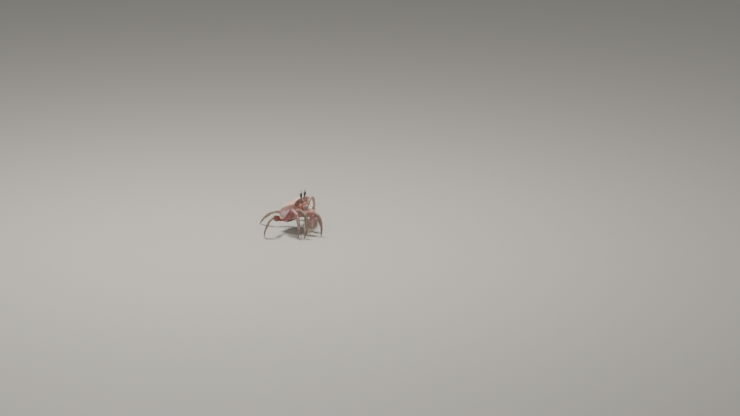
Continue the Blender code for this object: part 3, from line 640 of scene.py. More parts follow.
class Plate:
    """One plate of a limb before it is made: its grid in mm, and shares and angles over it."""

    def __init__(self, bone, rows, share, tip=False):
        extra, count, columns = len(LIP), *rows.shape[:2]
        end = [] if tip else np.ones(extra)
        self.bone = bone
        self.points = rolled(rows, tip)
        self.share = np.concatenate([np.full(extra, share[0]), share, end])[:, None]
        fade_out = end * np.linspace(1, 0, len(end))
        self.lip = np.concatenate([np.linspace(0, 1, extra), np.ones(count), fade_out])[:, None]
        self.angle = around(columns, 0.5)[None, :]
        self.run = self.share * bone.length
        self.collar = bell(self.run, self.run[0], 0.45)
        if not tip:
            self.collar = self.collar + bell(self.run, bone.length, 0.45)
        self.relief = 0.10 * self.collar * self.lip
        self.fields = {"grain": 0.0, "groove": 0.0, "blush": 0.0}

    def near(self, angle, width):
        """1 along a line at an angle from the upper edge, falling off over a width, in radians."""
        return bell(np.mod(self.angle - angle + math.pi, 2 * math.pi), math.pi, width)

    def bead(self, angle, width, pitch, height, power=1.0):
        """A row of beads along the plate."""
        beads = self.near(angle, width) * (0.25 + 0.75 * waves(self.run, pitch) ** power)
        self.raise_by(beads * stretch(self.share, 0.02, 0.10, 0.93, 0.99), height)

    def raise_by(self, amount, height, field="grain"):
        """Relief where the amount is 1, to a height in mm, which a field of the finish follows."""
        self.relief = self.relief + amount * height * self.lip
        self.fields[field] = np.clip(self.fields[field] + amount * self.lip, 0, 1)

    def grain(self, size, height, seed, where=1.0):
        """Grains of a size and height in mm all over the plate, fewer on its collars."""
        self.raise_by(grains(self.points, size, seed) * where * (1 - 0.7 * self.collar), height)

    def wrinkle(self, pitch, height, seed):
        """Short wavy ridges across the plate, like fine scales."""
        warp = drift(self.points, 3.2, seed) * 0.8 + drift(self.points, 1.3, seed + 1) * 0.22
        wave = np.mod(self.run / pitch + warp, 1.0)
        broken = step(-0.35, 0.25, drift(self.points, 1.9, seed + 2))
        ridge = wave**2 * (1 - step(0.86, 1.0, wave)) * broken
        self.raise_by(ridge * (1 - self.collar) * 0.8, height)

    def furrow(self, angle, width, depth, start=0.08, end=0.94):
        """A shallow groove along the plate."""
        along = stretch(self.share, start, start + 0.1, end - 0.1, end)
        self.raise_by(self.near(angle, width) * along, -depth, "groove")

    def shorten(self, rows):
        """Leave the last rows out."""
        for part in ("points", "share", "lip", "run", "collar", "relief"):
            setattr(self, part, getattr(self, part)[:-rows])

    def make(self, name, finish, slot, ending=None):
        """The piece itself; ending gives the last rows of a toe or a finger."""
        self.points = raised(self.points, self.relief + 0 * self.angle)
        if ending is not None:
            self.points = np.concatenate([self.points, ending])
            bare = np.zeros((len(ending), self.angle.shape[1]))
            self.fields = {field: np.concatenate([values + 0 * self.angle + 0 * self.share, bare])
                           for field, values in self.fields.items()}
            self.share = np.concatenate([self.share, np.ones((len(ending), 1))])
        self.fields.setdefault("reach", self.share + 0 * self.angle)
        return skin(name, self.points * MM, self.fields, finish)


def tube(bone, table, height, thick, pitch, keel=0.0, bow=0.0, start=PLATE_GAP / 2, end=PLATE_GAP / 2,
         tip=False):
    """The plate that a (share, rise, fall, half) table gives along a bone, its rows a pitch apart."""
    trim = np.array((start, end)) / bone.length
    columns = int(3.4 * (height + thick) * max(row[1] for row in table) / pitch / 1.3) + 12
    share = np.linspace(0, 1, int(bone.length / pitch))
    rise, fall, half = follow(table, share)
    place = trim[0] + share * (1 - trim.sum())
    rows = outline(bone, place, rise * height, fall * height, half * thick, columns, keel)
    return Plate(bone, rows + (bow * np.sin(math.pi * share))[:, None, None] * bone.up, share, tip)


def end_sizes(tables, height, thick):
    """The rise, fall and half width at both ends of every table, in mm."""
    return [[v * size for v, size in zip(table[end][1:], (height, height, thick))]
            for table in tables for end in (0, -1)]


def joint_skin(name, before, before_size, after, after_size, start=0.0, reach=0.95, swell=0.84):
    """The folded soft skin between two plates; sizes are rise, fall and half width, in mm."""
    rings = []
    for s in SKIN_RINGS:
        mix = (1 + s) / 2
        squeeze = swell * (1 - 0.07 * (1 + math.cos(5 * math.pi * s)) - 0.10 * (1 - s * s))
        sizes = [[(a * (1 - mix) + b * mix) * squeeze] for a, b in zip(before_size, after_size)]
        bone = before if s < 0 and before is not None else after
        share = 1 + s * reach / bone.length if bone is before else (start + s * reach) / bone.length
        rings.append(outline(bone, [share], *sizes, 28)[0])
    rings = ([shrunk(rings[0], k) for k in (0.2, 0.7)] + rings + [shrunk(rings[-1], k) for k in (0.7, 0.2)])
    folds = np.pad(0.5 + 0.5 * np.cos(5 * math.pi * SKIN_RINGS), 2)[:, None]
    return skin(name, np.array(rings) * MM, {"fold": folds}, joint_finish)


def joint_skins(name, bones, sizes, labels):
    """The soft skins of a limb from its socket on; sizes are those at both ends of every plate."""
    joint_skin(f"skin_{name}_hip", None, sizes[0], bones[0], sizes[0], start=HIP_RADIUS + PLATE_GAP / 2)
    for k, label in enumerate(labels):
        joint_skin(f"skin_{name}_{label}", bones[k], sizes[2 * k + 1], bones[k + 1], sizes[2 * k + 2])


def hip(name, root, base, finish):
    """The knob at the root of a limb, flattened toward the body, with a collar at its mouth."""
    polar = np.linspace(0.05, math.pi * 0.86, 40)[:, None]
    spread = np.sin(polar) ** 0.8 * HIP_RADIUS * 1.02
    line = root - np.cos(polar) * HIP_RADIUS * 0.98 * base.along
    grid = ovals(line, 48, spread, base.up * 0.97, spread, base.side)
    mouth = stretch(polar / math.pi, 0.60, 0.74, 0.80, 0.9)
    bumps = grains(grid, 0.7, 7) * (1 - mouth)
    waist = bell(polar, 1.55, 0.12) + 0 * bumps
    grid = raised(grid, 0.07 * bumps + 0.16 * mouth - 0.14 * waist)
    fields = {"grain": bumps * 0.7 + 0.3 * mouth, "groove": waist, "blush": 0.15}
    return skin(name, grid * MM, fields, finish)


def pale(tone, gain):
    """The colour of the grains on a shell of a given tone."""
    return tuple(min(1, c * gain + 0.05) for c in tone)


joint_finish = Finish("joint skin", roughness=0.62)
fold_tone = joint_finish.blend((0.36, 0.22, 0.17), (0.13, 0.07, 0.055), joint_finish.field("fold") * 0.8)
fleck = joint_finish.between(joint_finish.noise(700), 0.5, 0.8)
joint_finish.put("Base Color", joint_finish.blend(fold_tone, (0.46, 0.33, 0.26), fleck * 0.6))
joint_finish.bump(joint_finish.noise(2600, 3), 0.5, 0.0001)

belly_finish = shell_finish("belly shell", (0.60, 0.47, 0.40), (0.45, 0.30, 0.25), (0.24, 0.12, 0.10),
                            (0.74, 0.64, 0.56))
leg_finishes = {}
for tone, (light, deep, dark, shin_light, shin_deep) in LEG_LIGHT_AND_SHADE_TONES.items():
    leg_finishes[tone, "merus"] = shell_finish(f"thigh {tone}", light, deep, dark, pale(light, 1.45),
                                               tip=PAINTED_SHEEN_TONE if tone == SHEEN_PAINTED_LEG else None)
    shin_finish = shell_finish(f"shin {tone}", shin_light, shin_deep, dark, pale(shin_light, 1.4))
    leg_finishes[tone, "carpus"] = leg_finishes[tone, "propodus"] = shin_finish

toe_finish = Finish("toe horn", coat=0.25)
toe_reach, toe_cloud = toe_finish.field("reach"), toe_finish.between(toe_finish.noise(420), 0.35, 0.7)
toe_tone = toe_finish.blend((0.30, 0.20, 0.14), (0.16, 0.09, 0.06), toe_cloud)
toe_tone = toe_finish.blend(toe_tone, (0.03, 0.018, 0.014), toe_finish.between(toe_reach, 0.55, 0.98))
toe_tone = toe_finish.blend(toe_tone, (0.42, 0.32, 0.24), toe_finish.field("grain") * 0.5)
toe_tone = toe_finish.blend(toe_tone, (0.06, 0.035, 0.028), toe_finish.field("groove") * 0.8)
toe_finish.put("Base Color", toe_tone)
toe_finish.put("Roughness", 0.5 - toe_finish.between(toe_reach, 0.6, 1.0) * 0.22)
toe_finish.bump(toe_finish.noise(1800, 4, stretch=(1, 1, 0.25)), 0.5, 0.0001)

plates = {}
for name, (foot_x, foot_y, lean) in STANCE.items():
    side, pair = SIDES[name[:-2]], LEG_PAIRS[int(name[-1])]
    tone = name if name in LEG_LIGHT_AND_SHADE_TONES else "left"
    root = on_side(pair["root"], side)
    sole = np.array((foot_x + crab_x / MM, foot_y + crab_y / MM, 0.0))
    height, thick, seed = pair["height"], pair["thick"], sum(map(ord, name))
    fan, bones = math.radians(pair["fan"]), pair["bones"]
    upright_base = hip_bone(side, fan, root, sole, bones[0], (0, 0, 1))
    base_end = root + upright_base.length * upright_base.along
    chain = limb(side, base_end, sole, bones[1:], BEND_SHARES, math.radians(lean))
    base = hip_bone(side, fan, root, sole, bones[0], chain[0].up)

    hip(f"hip_{name}", root, base, belly_finish)
    leg = tube(base, LEG_BASE, height, thick, 0.19, start=HIP_RADIUS + PLATE_GAP, end=0.55)
    leg.grain(0.7, 0.06, seed)
    leg.bead(0, 0.35, 0.9, 0.10)
    leg.make(f"leg_{name}_root", leg_finishes[tone, "merus"], "thigh_shell")

    for bone, (part, work) in zip(chain, LEG_WORK.items()):
        leg = tube(bone, work["shape"], height, thick, work["pitch"], keel=work["keel"], start=work["start"])
        if part == "merus":
            leg.wrinkle(0.75, 0.085, seed)
        size, rise, shift = work["grain"]
        leg.grain(size, rise, seed + shift)
        for row in work["beads"]:
            leg.bead(*row)
        for line in work["furrows"]:
            leg.furrow(*line)
        leg.fields["blush"] = work["flush"] * leg.collar
        if part == "merus":
            leg.fields["blush"] = 0.35 * step(0.55, 1.0, leg.share) + leg.fields["blush"]
            # The thigh's upper edge, where right_3's finish paints a highlight.
            leg.fields["reach"] = 0.86 * leg.near(0, 1.6) * stretch(leg.share, 0.02, 0.15, 0.70, 0.95)
        slot = "thigh_shell" if part == "merus" else "shin_shell"
        piece = leg.make(f"{work['piece']}_{name}", leg_finishes[tone, part], slot)
        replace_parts(piece, f"leg_{name}_{part}")
        plates[name, part] = leg

    # The toe: ribbed, bowed a little, and cut off level where it stands on the ground.
    dactylus = chain[-1]
    leg = tube(dactylus, LEG_DACTYLUS, height, thick, 0.17, bow=TOE_BOW, tip=True)
    leg.shorten(TOE_CUT)
    for angle in TOE_FURROWS:
        leg.furrow(angle, 0.20, 0.10, start=0.03, end=0.97)
        leg.bead(angle + math.pi / 6, 0.14, 0.9, 0.05)
    last = raised(leg.points, leg.relief + 0 * leg.angle)[-1]
    flat = outline(dactylus, [0.985], [0.42], [0.42], [0.42], last.shape[0])[0]
    ground = flat - dactylus.along * (flat[:, 2:] / dactylus.along[2])
    ending = last + (ground - last) * np.linspace(0, 1, 9)[1:, None, None]
    ending = np.concatenate([ending, [shrunk(ground, 0.5)]])
    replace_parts(leg.make(f"toe_{name}", toe_finish, "toe_shell", ending), f"leg_{name}_dactylus")
    plates[name, "dactylus"] = leg

    sized = end_sizes((LEG_BASE, LEG_MERUS, LEG_CARPUS, LEG_PROPODUS, LEG_DACTYLUS), height, thick)
    joint_skins(name, [base, *chain], sized, ("root", "knee", "wrist", "toe"))

# ---- claws ----
# Two claws, the right one larger: a three-edged arm, a wrist with a spine on its inner corner, and a
# deep granular hand whose fixed and moving fingers close on rows of blunt teeth.
CLAW_ROOT = (10.2, -10.8, -8.9)
CLAW_SHARES = (-0.05, 0.53, 0.52)       # how the bend is shared out over its joints
# Each claw's size, where its fingers end, from the crab's own middle in mm, and its lean in degrees.
CLAWS = {
    "right": dict(size=1.0, tip=(-9.5, -27.5, 3.2), lean=4),
    "left": dict(size=0.84, tip=(9.5, -30.0, 4.6), lean=-6),
}
CLAW_BONES = (5.6, 9.2, 7.0, 26.5)
CLAW_HEIGHT, CLAW_THICK = 6.4, 3.6
CLAW_BASE = ((0.0, 0.36, 0.36, 0.62), (0.4, 0.38, 0.38, 0.66), (0.75, 0.35, 0.35, 0.60),
             (1.0, 0.34, 0.34, 0.60))
CLAW_MERUS = ((0.0, 0.31, 0.31, 0.54), (0.2, 0.41, 0.41, 0.70), (0.6, 0.54, 0.54, 0.83),
              (0.88, 0.52, 0.50, 0.81), (1.0, 0.36, 0.32, 0.59))
CLAW_CARPUS = ((0.0, 0.32, 0.31, 0.56), (0.2, 0.52, 0.41, 0.79), (0.6, 0.59, 0.47, 0.90),
               (0.88, 0.50, 0.41, 0.77), (1.0, 0.36, 0.31, 0.56))
# Along the hand: share, outer and inner edges as shares of the claw's height, and thickness.
PALM = ((0.0, 0.36, -0.32, 0.56), (0.08, 0.62, -0.54, 0.80), (0.22, 0.90, -0.84, 1.0),
        (0.40, 1.0, -0.98, 1.0), (0.50, 0.97, -1.0, 0.92), (0.535, 0.06, -0.99, 0.74),
        (0.62, -0.16, -0.94, 0.62), (0.75, -0.20, -0.80, 0.48), (0.88, -0.17, -0.58, 0.34),
        (1.0, -0.14, -0.30, 0.12))
FINGER = ((0.545, 0.92, 0.20, 0.62), (0.60, 0.98, 0.16, 0.66), (0.70, 0.88, 0.10, 0.58),
          (0.82, 0.62, 0.02, 0.44), (0.92, 0.32, -0.02, 0.30), (0.995, 0.06, -0.08, 0.12))
# Where the fingers part along the hand, the sizes at the wrist's and the finger's joints, as in the
# tables above, and the arm's three edges, as angles from its upper one.
CLEFT_START, CLEFT_END, FINGER_ROWS = 0.5, 0.535, 92
HAND_MOUTH, FINGER_MOUTH = (0.36, 0.32, 0.56), (0.33, 0.33, 0.60)
ARM_EDGES = (0, 2.2, -2.2)
# The wrist's spines: angle past the inner corner, width, place along it, length there, and height.
SPINES = ((0, 0.30, 0.72, 0.09, 1.15), (0.7, 0.22, 0.55, 0.07, 0.55))
# The rasp on the palm: its place along the hand and how fast it slants, its width and its ribs' pitch.
RASP_PLACE, RASP_SLANT, RASP_WIDTH, RASP_PITCH = 0.30, 0.004, 0.012, 0.28
TOOTH_HEIGHT, BIG_TOOTH, SMALL_TOOTH = 0.50, 1.45, 0.72
FINGER_HINGE = (0.5, 0.6)       # shares of the hand's length between which the finger's joint lies

arm_finish = shell_finish("claw arm", (0.43, 0.235, 0.205), (0.31, 0.13, 0.115), (0.14, 0.05, 0.045),
                          (0.62, 0.44, 0.37))
hand_finish = shell_finish("claw hand", (0.47, 0.30, 0.27), (0.33, 0.17, 0.155), (0.17, 0.08, 0.07),
                           (0.66, 0.53, 0.47), tip=(0.66, 0.57, 0.50))


def hand_part(bone, table, shares, height, thick, columns):
    """A plate between the outer and inner edges of the hand, ending in a pointed tip."""
    places, *edges, _ = np.array(table).T
    soften = np.hanning(9) / np.hanning(9).sum()
    ends = [np.pad(np.interp(shares, places, edge) * height, 4, mode="edge") for edge in edges]
    outer, inner = [np.convolve(end, soften, "valid") for end in ends]
    half = follow(table, shares)[2] * thick
    middle, reach = (outer + inner) / 2, (outer - inner) / 2
    rows = outline(bone, shares, reach, reach, half, columns, 0.12)
    return Plate(bone, rows + middle[:, None, None] * bone.up, shares, tip=True)


def teeth(part, angle, start):
    """Blunt teeth of mixed sizes along a finger's biting edge."""
    big = waves(part.run, BIG_TOOTH) ** 3 * (0.75 + 0.25 * np.cos(part.run * 1.1))
    small = 0.5 * waves(part.run + SMALL_TOOTH / 2, SMALL_TOOTH) ** 2
    row = np.maximum(big, small) * part.near(angle, 0.42)
    part.raise_by(row * stretch(part.share, start, start + 0.05, 0.93, 0.99), TOOTH_HEIGHT)


def finger_tip(part):
    """Rows that round off a finger past its last ring."""
    return np.array([shrunk(part.points[-1], k, part.bone.along * d)
                     for k, d in ((0.85, 0.14), (0.6, 0.25), (0.3, 0.30))])


for label, claw in CLAWS.items():
    side, size = SIDES[label], claw["size"]
    root = on_side(CLAW_ROOT, side)
    tip = np.array(claw["tip"]) + (crab_x / MM, crab_y / MM, 0)
    lengths = [*CLAW_BONES[:3], CLAW_BONES[3] * size]
    height, thick, seed = CLAW_HEIGHT * size, CLAW_THICK * size, 40 + side
    base, merus, carpus, hand = limb(side, root, tip, lengths, CLAW_SHARES, math.radians(claw["lean"]))
    faces_in = hand.side @ (np.array((crab_x, crab_y, 0)) / MM - hand.start) > 0
    inward = math.pi / 2 if faces_in else -math.pi / 2
    hip(f"hip_claw_{label}", root, base, belly_finish)

    arm = tube(base, CLAW_BASE, height, thick, 0.19, start=HIP_RADIUS + PLATE_GAP)
    arm.grain(0.7, 0.06, seed)
    arm.make(f"arm_{label}_root", arm_finish, "arm_shell")
    arm = tube(merus, CLAW_MERUS, height, thick, 0.18, keel=0.15)
    arm.wrinkle(0.7, 0.08, seed)
    arm.grain(0.6, 0.05, seed + 1)
    for angle in ARM_EDGES:
        arm.bead(angle, 0.18, 1.1, 0.30, 2.0)
    arm.fields["blush"] = 0.4 * step(0.6, 1.0, arm.share)
    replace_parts(arm.make(f"arm_{label}", arm_finish, "arm_shell"), f"claw_{label}_merus")

    # The wrist, with a large spine and a small one on its inner corner.
    wrist = tube(carpus, CLAW_CARPUS, height, thick, 0.17)
    wrist.grain(0.8, 0.10, seed + 2)
    wrist.grain(0.5, 0.04, seed + 3)
    for angle, width, place, long, tall in SPINES:
        wrist.raise_by(wrist.near(inward + angle, width) * bell(wrist.share, place, long), tall)
    wrist.fields["blush"] = 0.4 * wrist.collar
    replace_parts(wrist.make(f"claw_wrist_{label}", arm_finish, "arm_shell"), f"claw_{label}_carpus")

    # The hand with its fixed finger, and the ridge of fine ribs across its inner face.
    shares = np.concatenate([np.linspace(PLATE_GAP / 2 / hand.length, CLEFT_START, FINGER_ROWS)[:-1],
                             np.linspace(CLEFT_START, CLEFT_END, 20)[:-1],
                             np.linspace(CLEFT_END, 1.0, FINGER_ROWS)])
    palm = hand_part(hand, PALM, shares, height, thick, 112)
    on_palm = 1 - step(0.50, 0.60, palm.share)
    palm.grain(1.0, 0.15, seed + 4, on_palm * (0.45 + 0.55 * np.abs(np.cos(palm.angle))))
    palm.grain(0.55, 0.06, seed + 5)
    palm.bead(0, 0.10, 0.95, 0.26, 2.0)
    palm.bead(math.pi, 0.10, 0.85, 0.22, 2.0)
    for angle in (0.9, -0.9):
        palm.furrow(angle, 0.12, 0.14, start=0.55, end=1.0)
    lift = (palm.points - hand.start) @ hand.up
    rasp = palm.near(inward, 0.75) * bell(palm.share, RASP_PLACE + RASP_SLANT * lift, RASP_WIDTH)
    palm.raise_by(rasp * (0.4 + 0.6 * np.abs(np.sin(math.pi * lift / RASP_PITCH))), 0.22)
    teeth(palm, 0, 0.57)
    palm.fields["blush"] = 0.30 * on_palm * step(0.1, 0.5, np.cos(palm.angle)) + 0.3 * palm.collar
    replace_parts(palm.make(f"palm_{label}", hand_finish, "hand_shell", finger_tip(palm)), f"claw_{label}_palm")

    finger = hand_part(hand, FINGER, np.linspace(FINGER[0][0], FINGER[-1][0], FINGER_ROWS), height, thick, 72)
    finger.grain(0.6, 0.07, seed + 6, 1 - step(0.62, 0.85, finger.share))
    finger.grain(0.4, 0.035, seed + 7)
    finger.bead(0, 0.20, 0.9, 0.16, 2.0)
    for angle in (1.1, -1.1):
        finger.furrow(angle, 0.16, 0.13, start=0.58, end=0.99)
    teeth(finger, math.pi, 0.58)
    finger.fields["blush"] = 0.3 * (1 - step(0.55, 0.68, finger.share))
    piece = finger.make(f"finger_{label}", hand_finish, "hand_shell", finger_tip(finger))
    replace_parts(piece, f"claw_{label}_finger")
    for part, plate in (("merus", arm), ("palm", palm), ("finger", finger)):
        plates["claw_" + label, part] = plate

    sized = end_sizes((CLAW_BASE, CLAW_MERUS, CLAW_CARPUS), height, thick)
    hand_mouth, finger_mouth = [[v * k for v, k in zip(mouth, (height, height, thick))]
                                for mouth in (HAND_MOUTH, FINGER_MOUTH)]
    bones = [base, merus, carpus, hand]
    joint_skins(f"claw_{label}", bones, [*sized, hand_mouth], ("root", "elbow", "wrist"))
    hinge_ends = [hand.point(np.array(share), np.array(0.56 * height), np.array(0.0))
                  for share in FINGER_HINGE]
    hinge = Bone(*hinge_ends, hand.up, hand.side, (0, 0))
    joint_skin(f"skin_finger_{label}", None, finger_mouth, hinge, finger_mouth,
               start=0.40 * hinge.length, reach=0.7, swell=0.95)

# ---- breast plate and belly flap ----
# The underside: a pale breast plate scored by the seams between its segments, and the belly, a
# jointed flap folded forward under it.
# Along the breast: place, top, foot, half width on top and half width below, in the body's mm.
BREAST = ((-9.4, -6.6, -10.4, 11.8, 7.0), (-5.0, -6.6, -11.3, 13.6, 8.5), (3.0, -6.6, -11.5, 13.6, 8.8),
          (8.5, -6.6, -11.2, 12.3, 8.0), (13.0, -6.4, -9.8, 9.0, 5.8), (15.4, -5.8, -8.2, 6.0, 4.0))
BREAST_SEAMS, BREAST_SEAM_WIDTH, BREAST_SEAM_DEPTH = (-8.0, -4.9, 0.8, 6.4, 11.2), 0.24, 0.26
# Along the flap: place, height and half width; its seams are shares of its length.
FLAP = ((17.0, -5.4, 7.6), (17.0, -8.4, 7.4), (14.6, -11.2, 6.8), (10.0, -12.4, 5.6), (4.0, -12.6, 4.2),
        (-1.5, -12.5, 2.8), (-5.0, -12.3, 1.6), (-7.0, -12.0, 0.8))
FLAP_SEAMS = (0.11, 0.25, 0.41, 0.56, 0.70, 0.85)
FLAP_THICK, FLAP_SWELL, FLAP_SEAM_DEPTH = 0.55, 0.14, 0.16
CAP = tuple((math.cos(a), math.sin(a)) for a in np.linspace(0.15, 1.45, 14))


def block(table, count, columns, squareness):
    """Rings across the body from (y, top, foot, half width on top, half width below) stations."""
    y = np.linspace(table[0][0], table[-1][0], count)
    top, low, wide, narrow = (curve[:, None] for curve in follow(table, y))
    angle = around(columns)[None, :]
    across = squared(np.cos(angle), 2 / squareness)
    height = 0.5 + 0.5 * squared(np.sin(angle), 2 / squareness)
    half = narrow + (wide - narrow) * step(0, 0.75, height)
    return np.stack([across * half, y[:, None] + 0 * height, low + (top - low) * height], -1)


def capped(rows, front, rear):
    """Rows with ends closed by shrinking copies; each entry is a (share, forward step) in mm."""
    return np.concatenate([[shrunk(rows[0], k, (0, d, 0)) for k, d in front[::-1]], rows,
                           [shrunk(rows[-1], k, (0, d, 0)) for k, d in rear]])


def cap(depth):
    """The (share, forward step) entries of a rounded end of a given depth."""
    return [(c, depth * s) for c, s in CAP]


def ends_added(field):
    """A field with rows of zeros for the closing rows of a piece."""
    return np.pad(field + np.zeros((1, 1)), ((len(CAP), len(CAP)), (0, 0)))


breast = capped(block(BREAST, 130, 170, 3.4), cap(-0.5), cap(0.4))
x, y, z = np.moveaxis(breast, -1, 0)
seams = sum(bell(y, at - 0.14 * (np.abs(x) - 6), BREAST_SEAM_WIDTH) for at in BREAST_SEAMS)
seams = np.clip(seams, 0, 1) * step(3.6, 4.6, np.abs(x)) * step(-7.6, -8.6, z)
bumps = grains(breast, 0.8, 21) * step(5, 9, np.abs(x))
breast = raised(breast, 0.07 * bumps - BREAST_SEAM_DEPTH * seams)
fields = {"grain": 0.6 * bumps, "groove": seams, "blush": 0.25 * step(7, 12, np.abs(x))}
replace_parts(skin("breast_plate", set_on_body(breast), fields, belly_finish), "sternum")

along = np.linspace(0, 1, 150)
flap_y, flap_z, flap_half = follow(np.column_stack([np.linspace(0, 1, len(FLAP)), FLAP]), along)
flap_line = np.stack([0 * along, flap_y, flap_z], -1)
run = np.gradient(flap_line, axis=0)
out = np.cross((1, 0, 0), unit(run))
flap = ovals(flap_line, 96, flap_half, (1, 0, 0), FLAP_THICK, out[:, None], 0.45)
seam = sum(bell(along, at, 0.008) for at in FLAP_SEAMS)[:, None]
plate_swell = sum(stretch(along, a, a + 0.02, b - 0.02, b)
                  * np.sin(math.pi * np.clip((along - a) / (b - a), 0, 1))
                  for a, b in zip((0, *FLAP_SEAMS), (*FLAP_SEAMS, 1.0)))[:, None]
bumps = grains(flap, 0.7, 25)
flap = raised(flap, FLAP_SWELL * plate_swell - FLAP_SEAM_DEPTH * seam + 0.035 * bumps)
flap = capped(flap, cap(0), cap(-0.3))
fields = {"grain": ends_added(0.5 * bumps), "groove": ends_added(seam + 0 * bumps), "blush": 0.1}
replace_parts(skin("belly_flap", set_on_body(flap), fields, belly_finish), "abdomen")

# ---- face and mouth ----
# The block between the eye hollows and the mouth, with pits for the small feelers under a beaded
# edge, and in front of it the two flat outer mouth plates, each jointed across and grooved along.
FACE = ((-15.8, 1.6, -2.6, 8.2, 6.4), (-14.4, 1.3, -5.0, 9.2, 6.4), (-12.4, -1.2, -8.0, 9.2, 6.0),
        (-11.2, -3.2, -9.6, 7.9, 5.8), (-9.8, -5.4, -10.2, 7.6, 5.6))
# On the face, in the body's mm: the pits across it, the beaded sill above them, the ledge below.
PIT_PLACES, PIT_HALF, PIT_HEIGHT, PIT_DEPTH = (-2.3, 2.3), (1.25, 0.5), 0.45, 0.42
SILL_HEIGHT, SILL_RELIEF, LEDGE_HEIGHT, LEDGE_RELIEF = 1.35, 0.20, -1.0, 0.22
MOUTH_TOP, MOUTH_FOOT = np.array((0, -16.8, -2.2)), np.array((0, -13.0, -11.0))
# Down each mouth plate: share and half width; then its middle's distance from the crab's, and thickness.
MOUTH_HALF = ((0.0, 2.0), (0.12, 2.7), (0.5, 3.0), (0.88, 2.6), (1.0, 1.8))
MOUTH_MIDDLE, MOUTH_THICK, MOUTH_COLUMNS = 3.25, 0.55, 84
MOUTH_JOINT, MOUTH_JOINT_DEPTH, CHANNEL_DEPTH = 0.40, 0.20, 0.14      # the joint is a share of the length
# Paths and radii of the slender pieces, for the left side.
PALP = ((1.2, -16.9, -2.6), (0.9, -17.9, -3.4), (1.0, -17.6, -5.2), (1.1, -16.8, -6.4))
SMALL_FEELER = ((1.5, -16.0, 0.6), (2.0, -16.9, 0.75), (2.9, -17.0, 0.6), (3.5, -16.6, 0.3))

face_finish = shell_finish("face", (0.56, 0.29, 0.17), (0.47, 0.20, 0.14), (0.20, 0.07, 0.055),
                           (0.68, 0.44, 0.31), rosy=(0.44, 0.17, 0.135))
rounding = zip(np.linspace(0.985, 0.02, 44), np.sin(np.linspace(0.05, 1.5, 44)))
face = capped(block(FACE, 60, 150, 4.0), [(c, -0.28 * s) for c, s in rounding], cap(0.2))
x, y, z = np.moveaxis(face, -1, 0)
front = 1 - step(-15.7, -15.2, y)
pits = front * sum(bell(x, at, PIT_HALF[0]) * bell(z, PIT_HEIGHT - 0.12 * np.sign(at) * (x - at), PIT_HALF[1])
                   for at in PIT_PLACES)
sill = bell(z, SILL_HEIGHT, 0.22) * front * (0.4 + 0.6 * waves(x, ORBIT_PITCH))
ledge = bell(z, LEDGE_HEIGHT + 0.02 * x**2, 0.25) * front
bumps = grains(face, 0.7, 31) * (1 - pits)
face = raised(face, 0.08 * bumps - PIT_DEPTH * pits + SILL_RELIEF * sill + LEDGE_RELIEF * ledge)
fields = {"grain": np.clip(0.7 * bumps + sill, 0, 1), "groove": pits,
          "blush": 0.25 + 0.5 * step(5, 8, np.abs(x))}
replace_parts(skin("face_block", set_on_body(face), fields, face_finish), "face")


def small_tube(name, side, path, radii, finish, pitch, relief, columns=20, rows=60):
    """A slender tapering tube, ringed across, through a left side's path set on either side."""
    share = np.linspace(0, 1, rows)
    *line, radius = follow(np.column_stack([np.linspace(0, 1, len(path)), path, radii]), share)
    line = np.stack(line, -1) * (side, 1, 1)
    run = unit(np.gradient(line, axis=0))
    across = unit(np.cross(run, (0.3, 1, 0.2)))
    length = np.linalg.norm(np.diff(line, axis=0), axis=1).sum()
    rings = waves(share * length, pitch) ** 0.5
    radius = radius * np.sqrt(np.clip(1 - ((share - 0.5) / 0.5) ** 16, 0.02, 1)) + relief * rings
    grid = ovals(line, columns, radius, across[:, None], radius, np.cross(run, across)[:, None])
    fields = {"grain": 0.5 * rings[:, None], "groove": 1 - rings[:, None], "blush": 0.2,
              "reach": share[:, None]}
    return skin(name, set_on_body(grid), fields, finish)


mouth_grids = {}
for label, side in SIDES.items():
    share = 0.5 - 0.5 * np.cos(np.linspace(0.10, math.pi - 0.10, 90))
    half = follow(MOUTH_HALF, share) * np.clip(np.sin(math.pi * share) * 6, 0.25, 1) ** 0.35
    run = unit(MOUTH_FOOT - MOUTH_TOP)
    middle = MOUTH_TOP + share[:, None] * (MOUTH_FOOT - MOUTH_TOP) + (side * MOUTH_MIDDLE, 0, 0)
    thin = MOUTH_THICK * np.clip(np.sin(math.pi * share) * 5, 0.3, 1) ** 0.5
    plate = ovals(middle, MOUTH_COLUMNS, half, (1, 0, 0), thin, np.cross((1, 0, 0), run), 0.5)
    inner = -side * np.cos(around(MOUTH_COLUMNS))[None, :]
    down = share[:, None]
    joint = bell(down, MOUTH_JOINT + 0.03 * inner, 0.022)
    channel = bell(inner, 0.30, 0.10) * stretch(down, 0.44, 0.5, 0.9, 0.97)
    bumps = grains(plate, 0.6, 35 + side)
    plate = set_on_body(raised(plate, 0.05 * bumps - MOUTH_JOINT_DEPTH * joint - CHANNEL_DEPTH * channel))
    fields = {"grain": 0.5 * bumps, "groove": np.clip(joint + channel, 0, 1), "blush": 0.15}
    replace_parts(skin(f"mouth_plate_{label}_shell", plate, fields, belly_finish),
                f"mouth_plate_{label}")
    mouth_grids[label] = plate / MM
    small_tube(f"mouth_palp_{label}", side, PALP, (0.45, 0.50, 0.42, 0.22), belly_finish,
               pitch=1.6, relief=0.05)
    small_tube(f"small_feeler_{label}", side, SMALL_FEELER, (0.34, 0.32, 0.24, 0.12), face_finish,
               pitch=0.35, relief=0.03)

# ---- eyes and feelers ----
# Each eye is a glassy dark bulb gripped by its stalk, which runs up its inner side and ends in a
# horn above it. The stalk turns down into its socket, and beside it stands a short ringed feeler.
EYE_ROOT, EYE_LEAN = (3.9, -15.3, 4.2), (0.10, -0.06, 1.0)
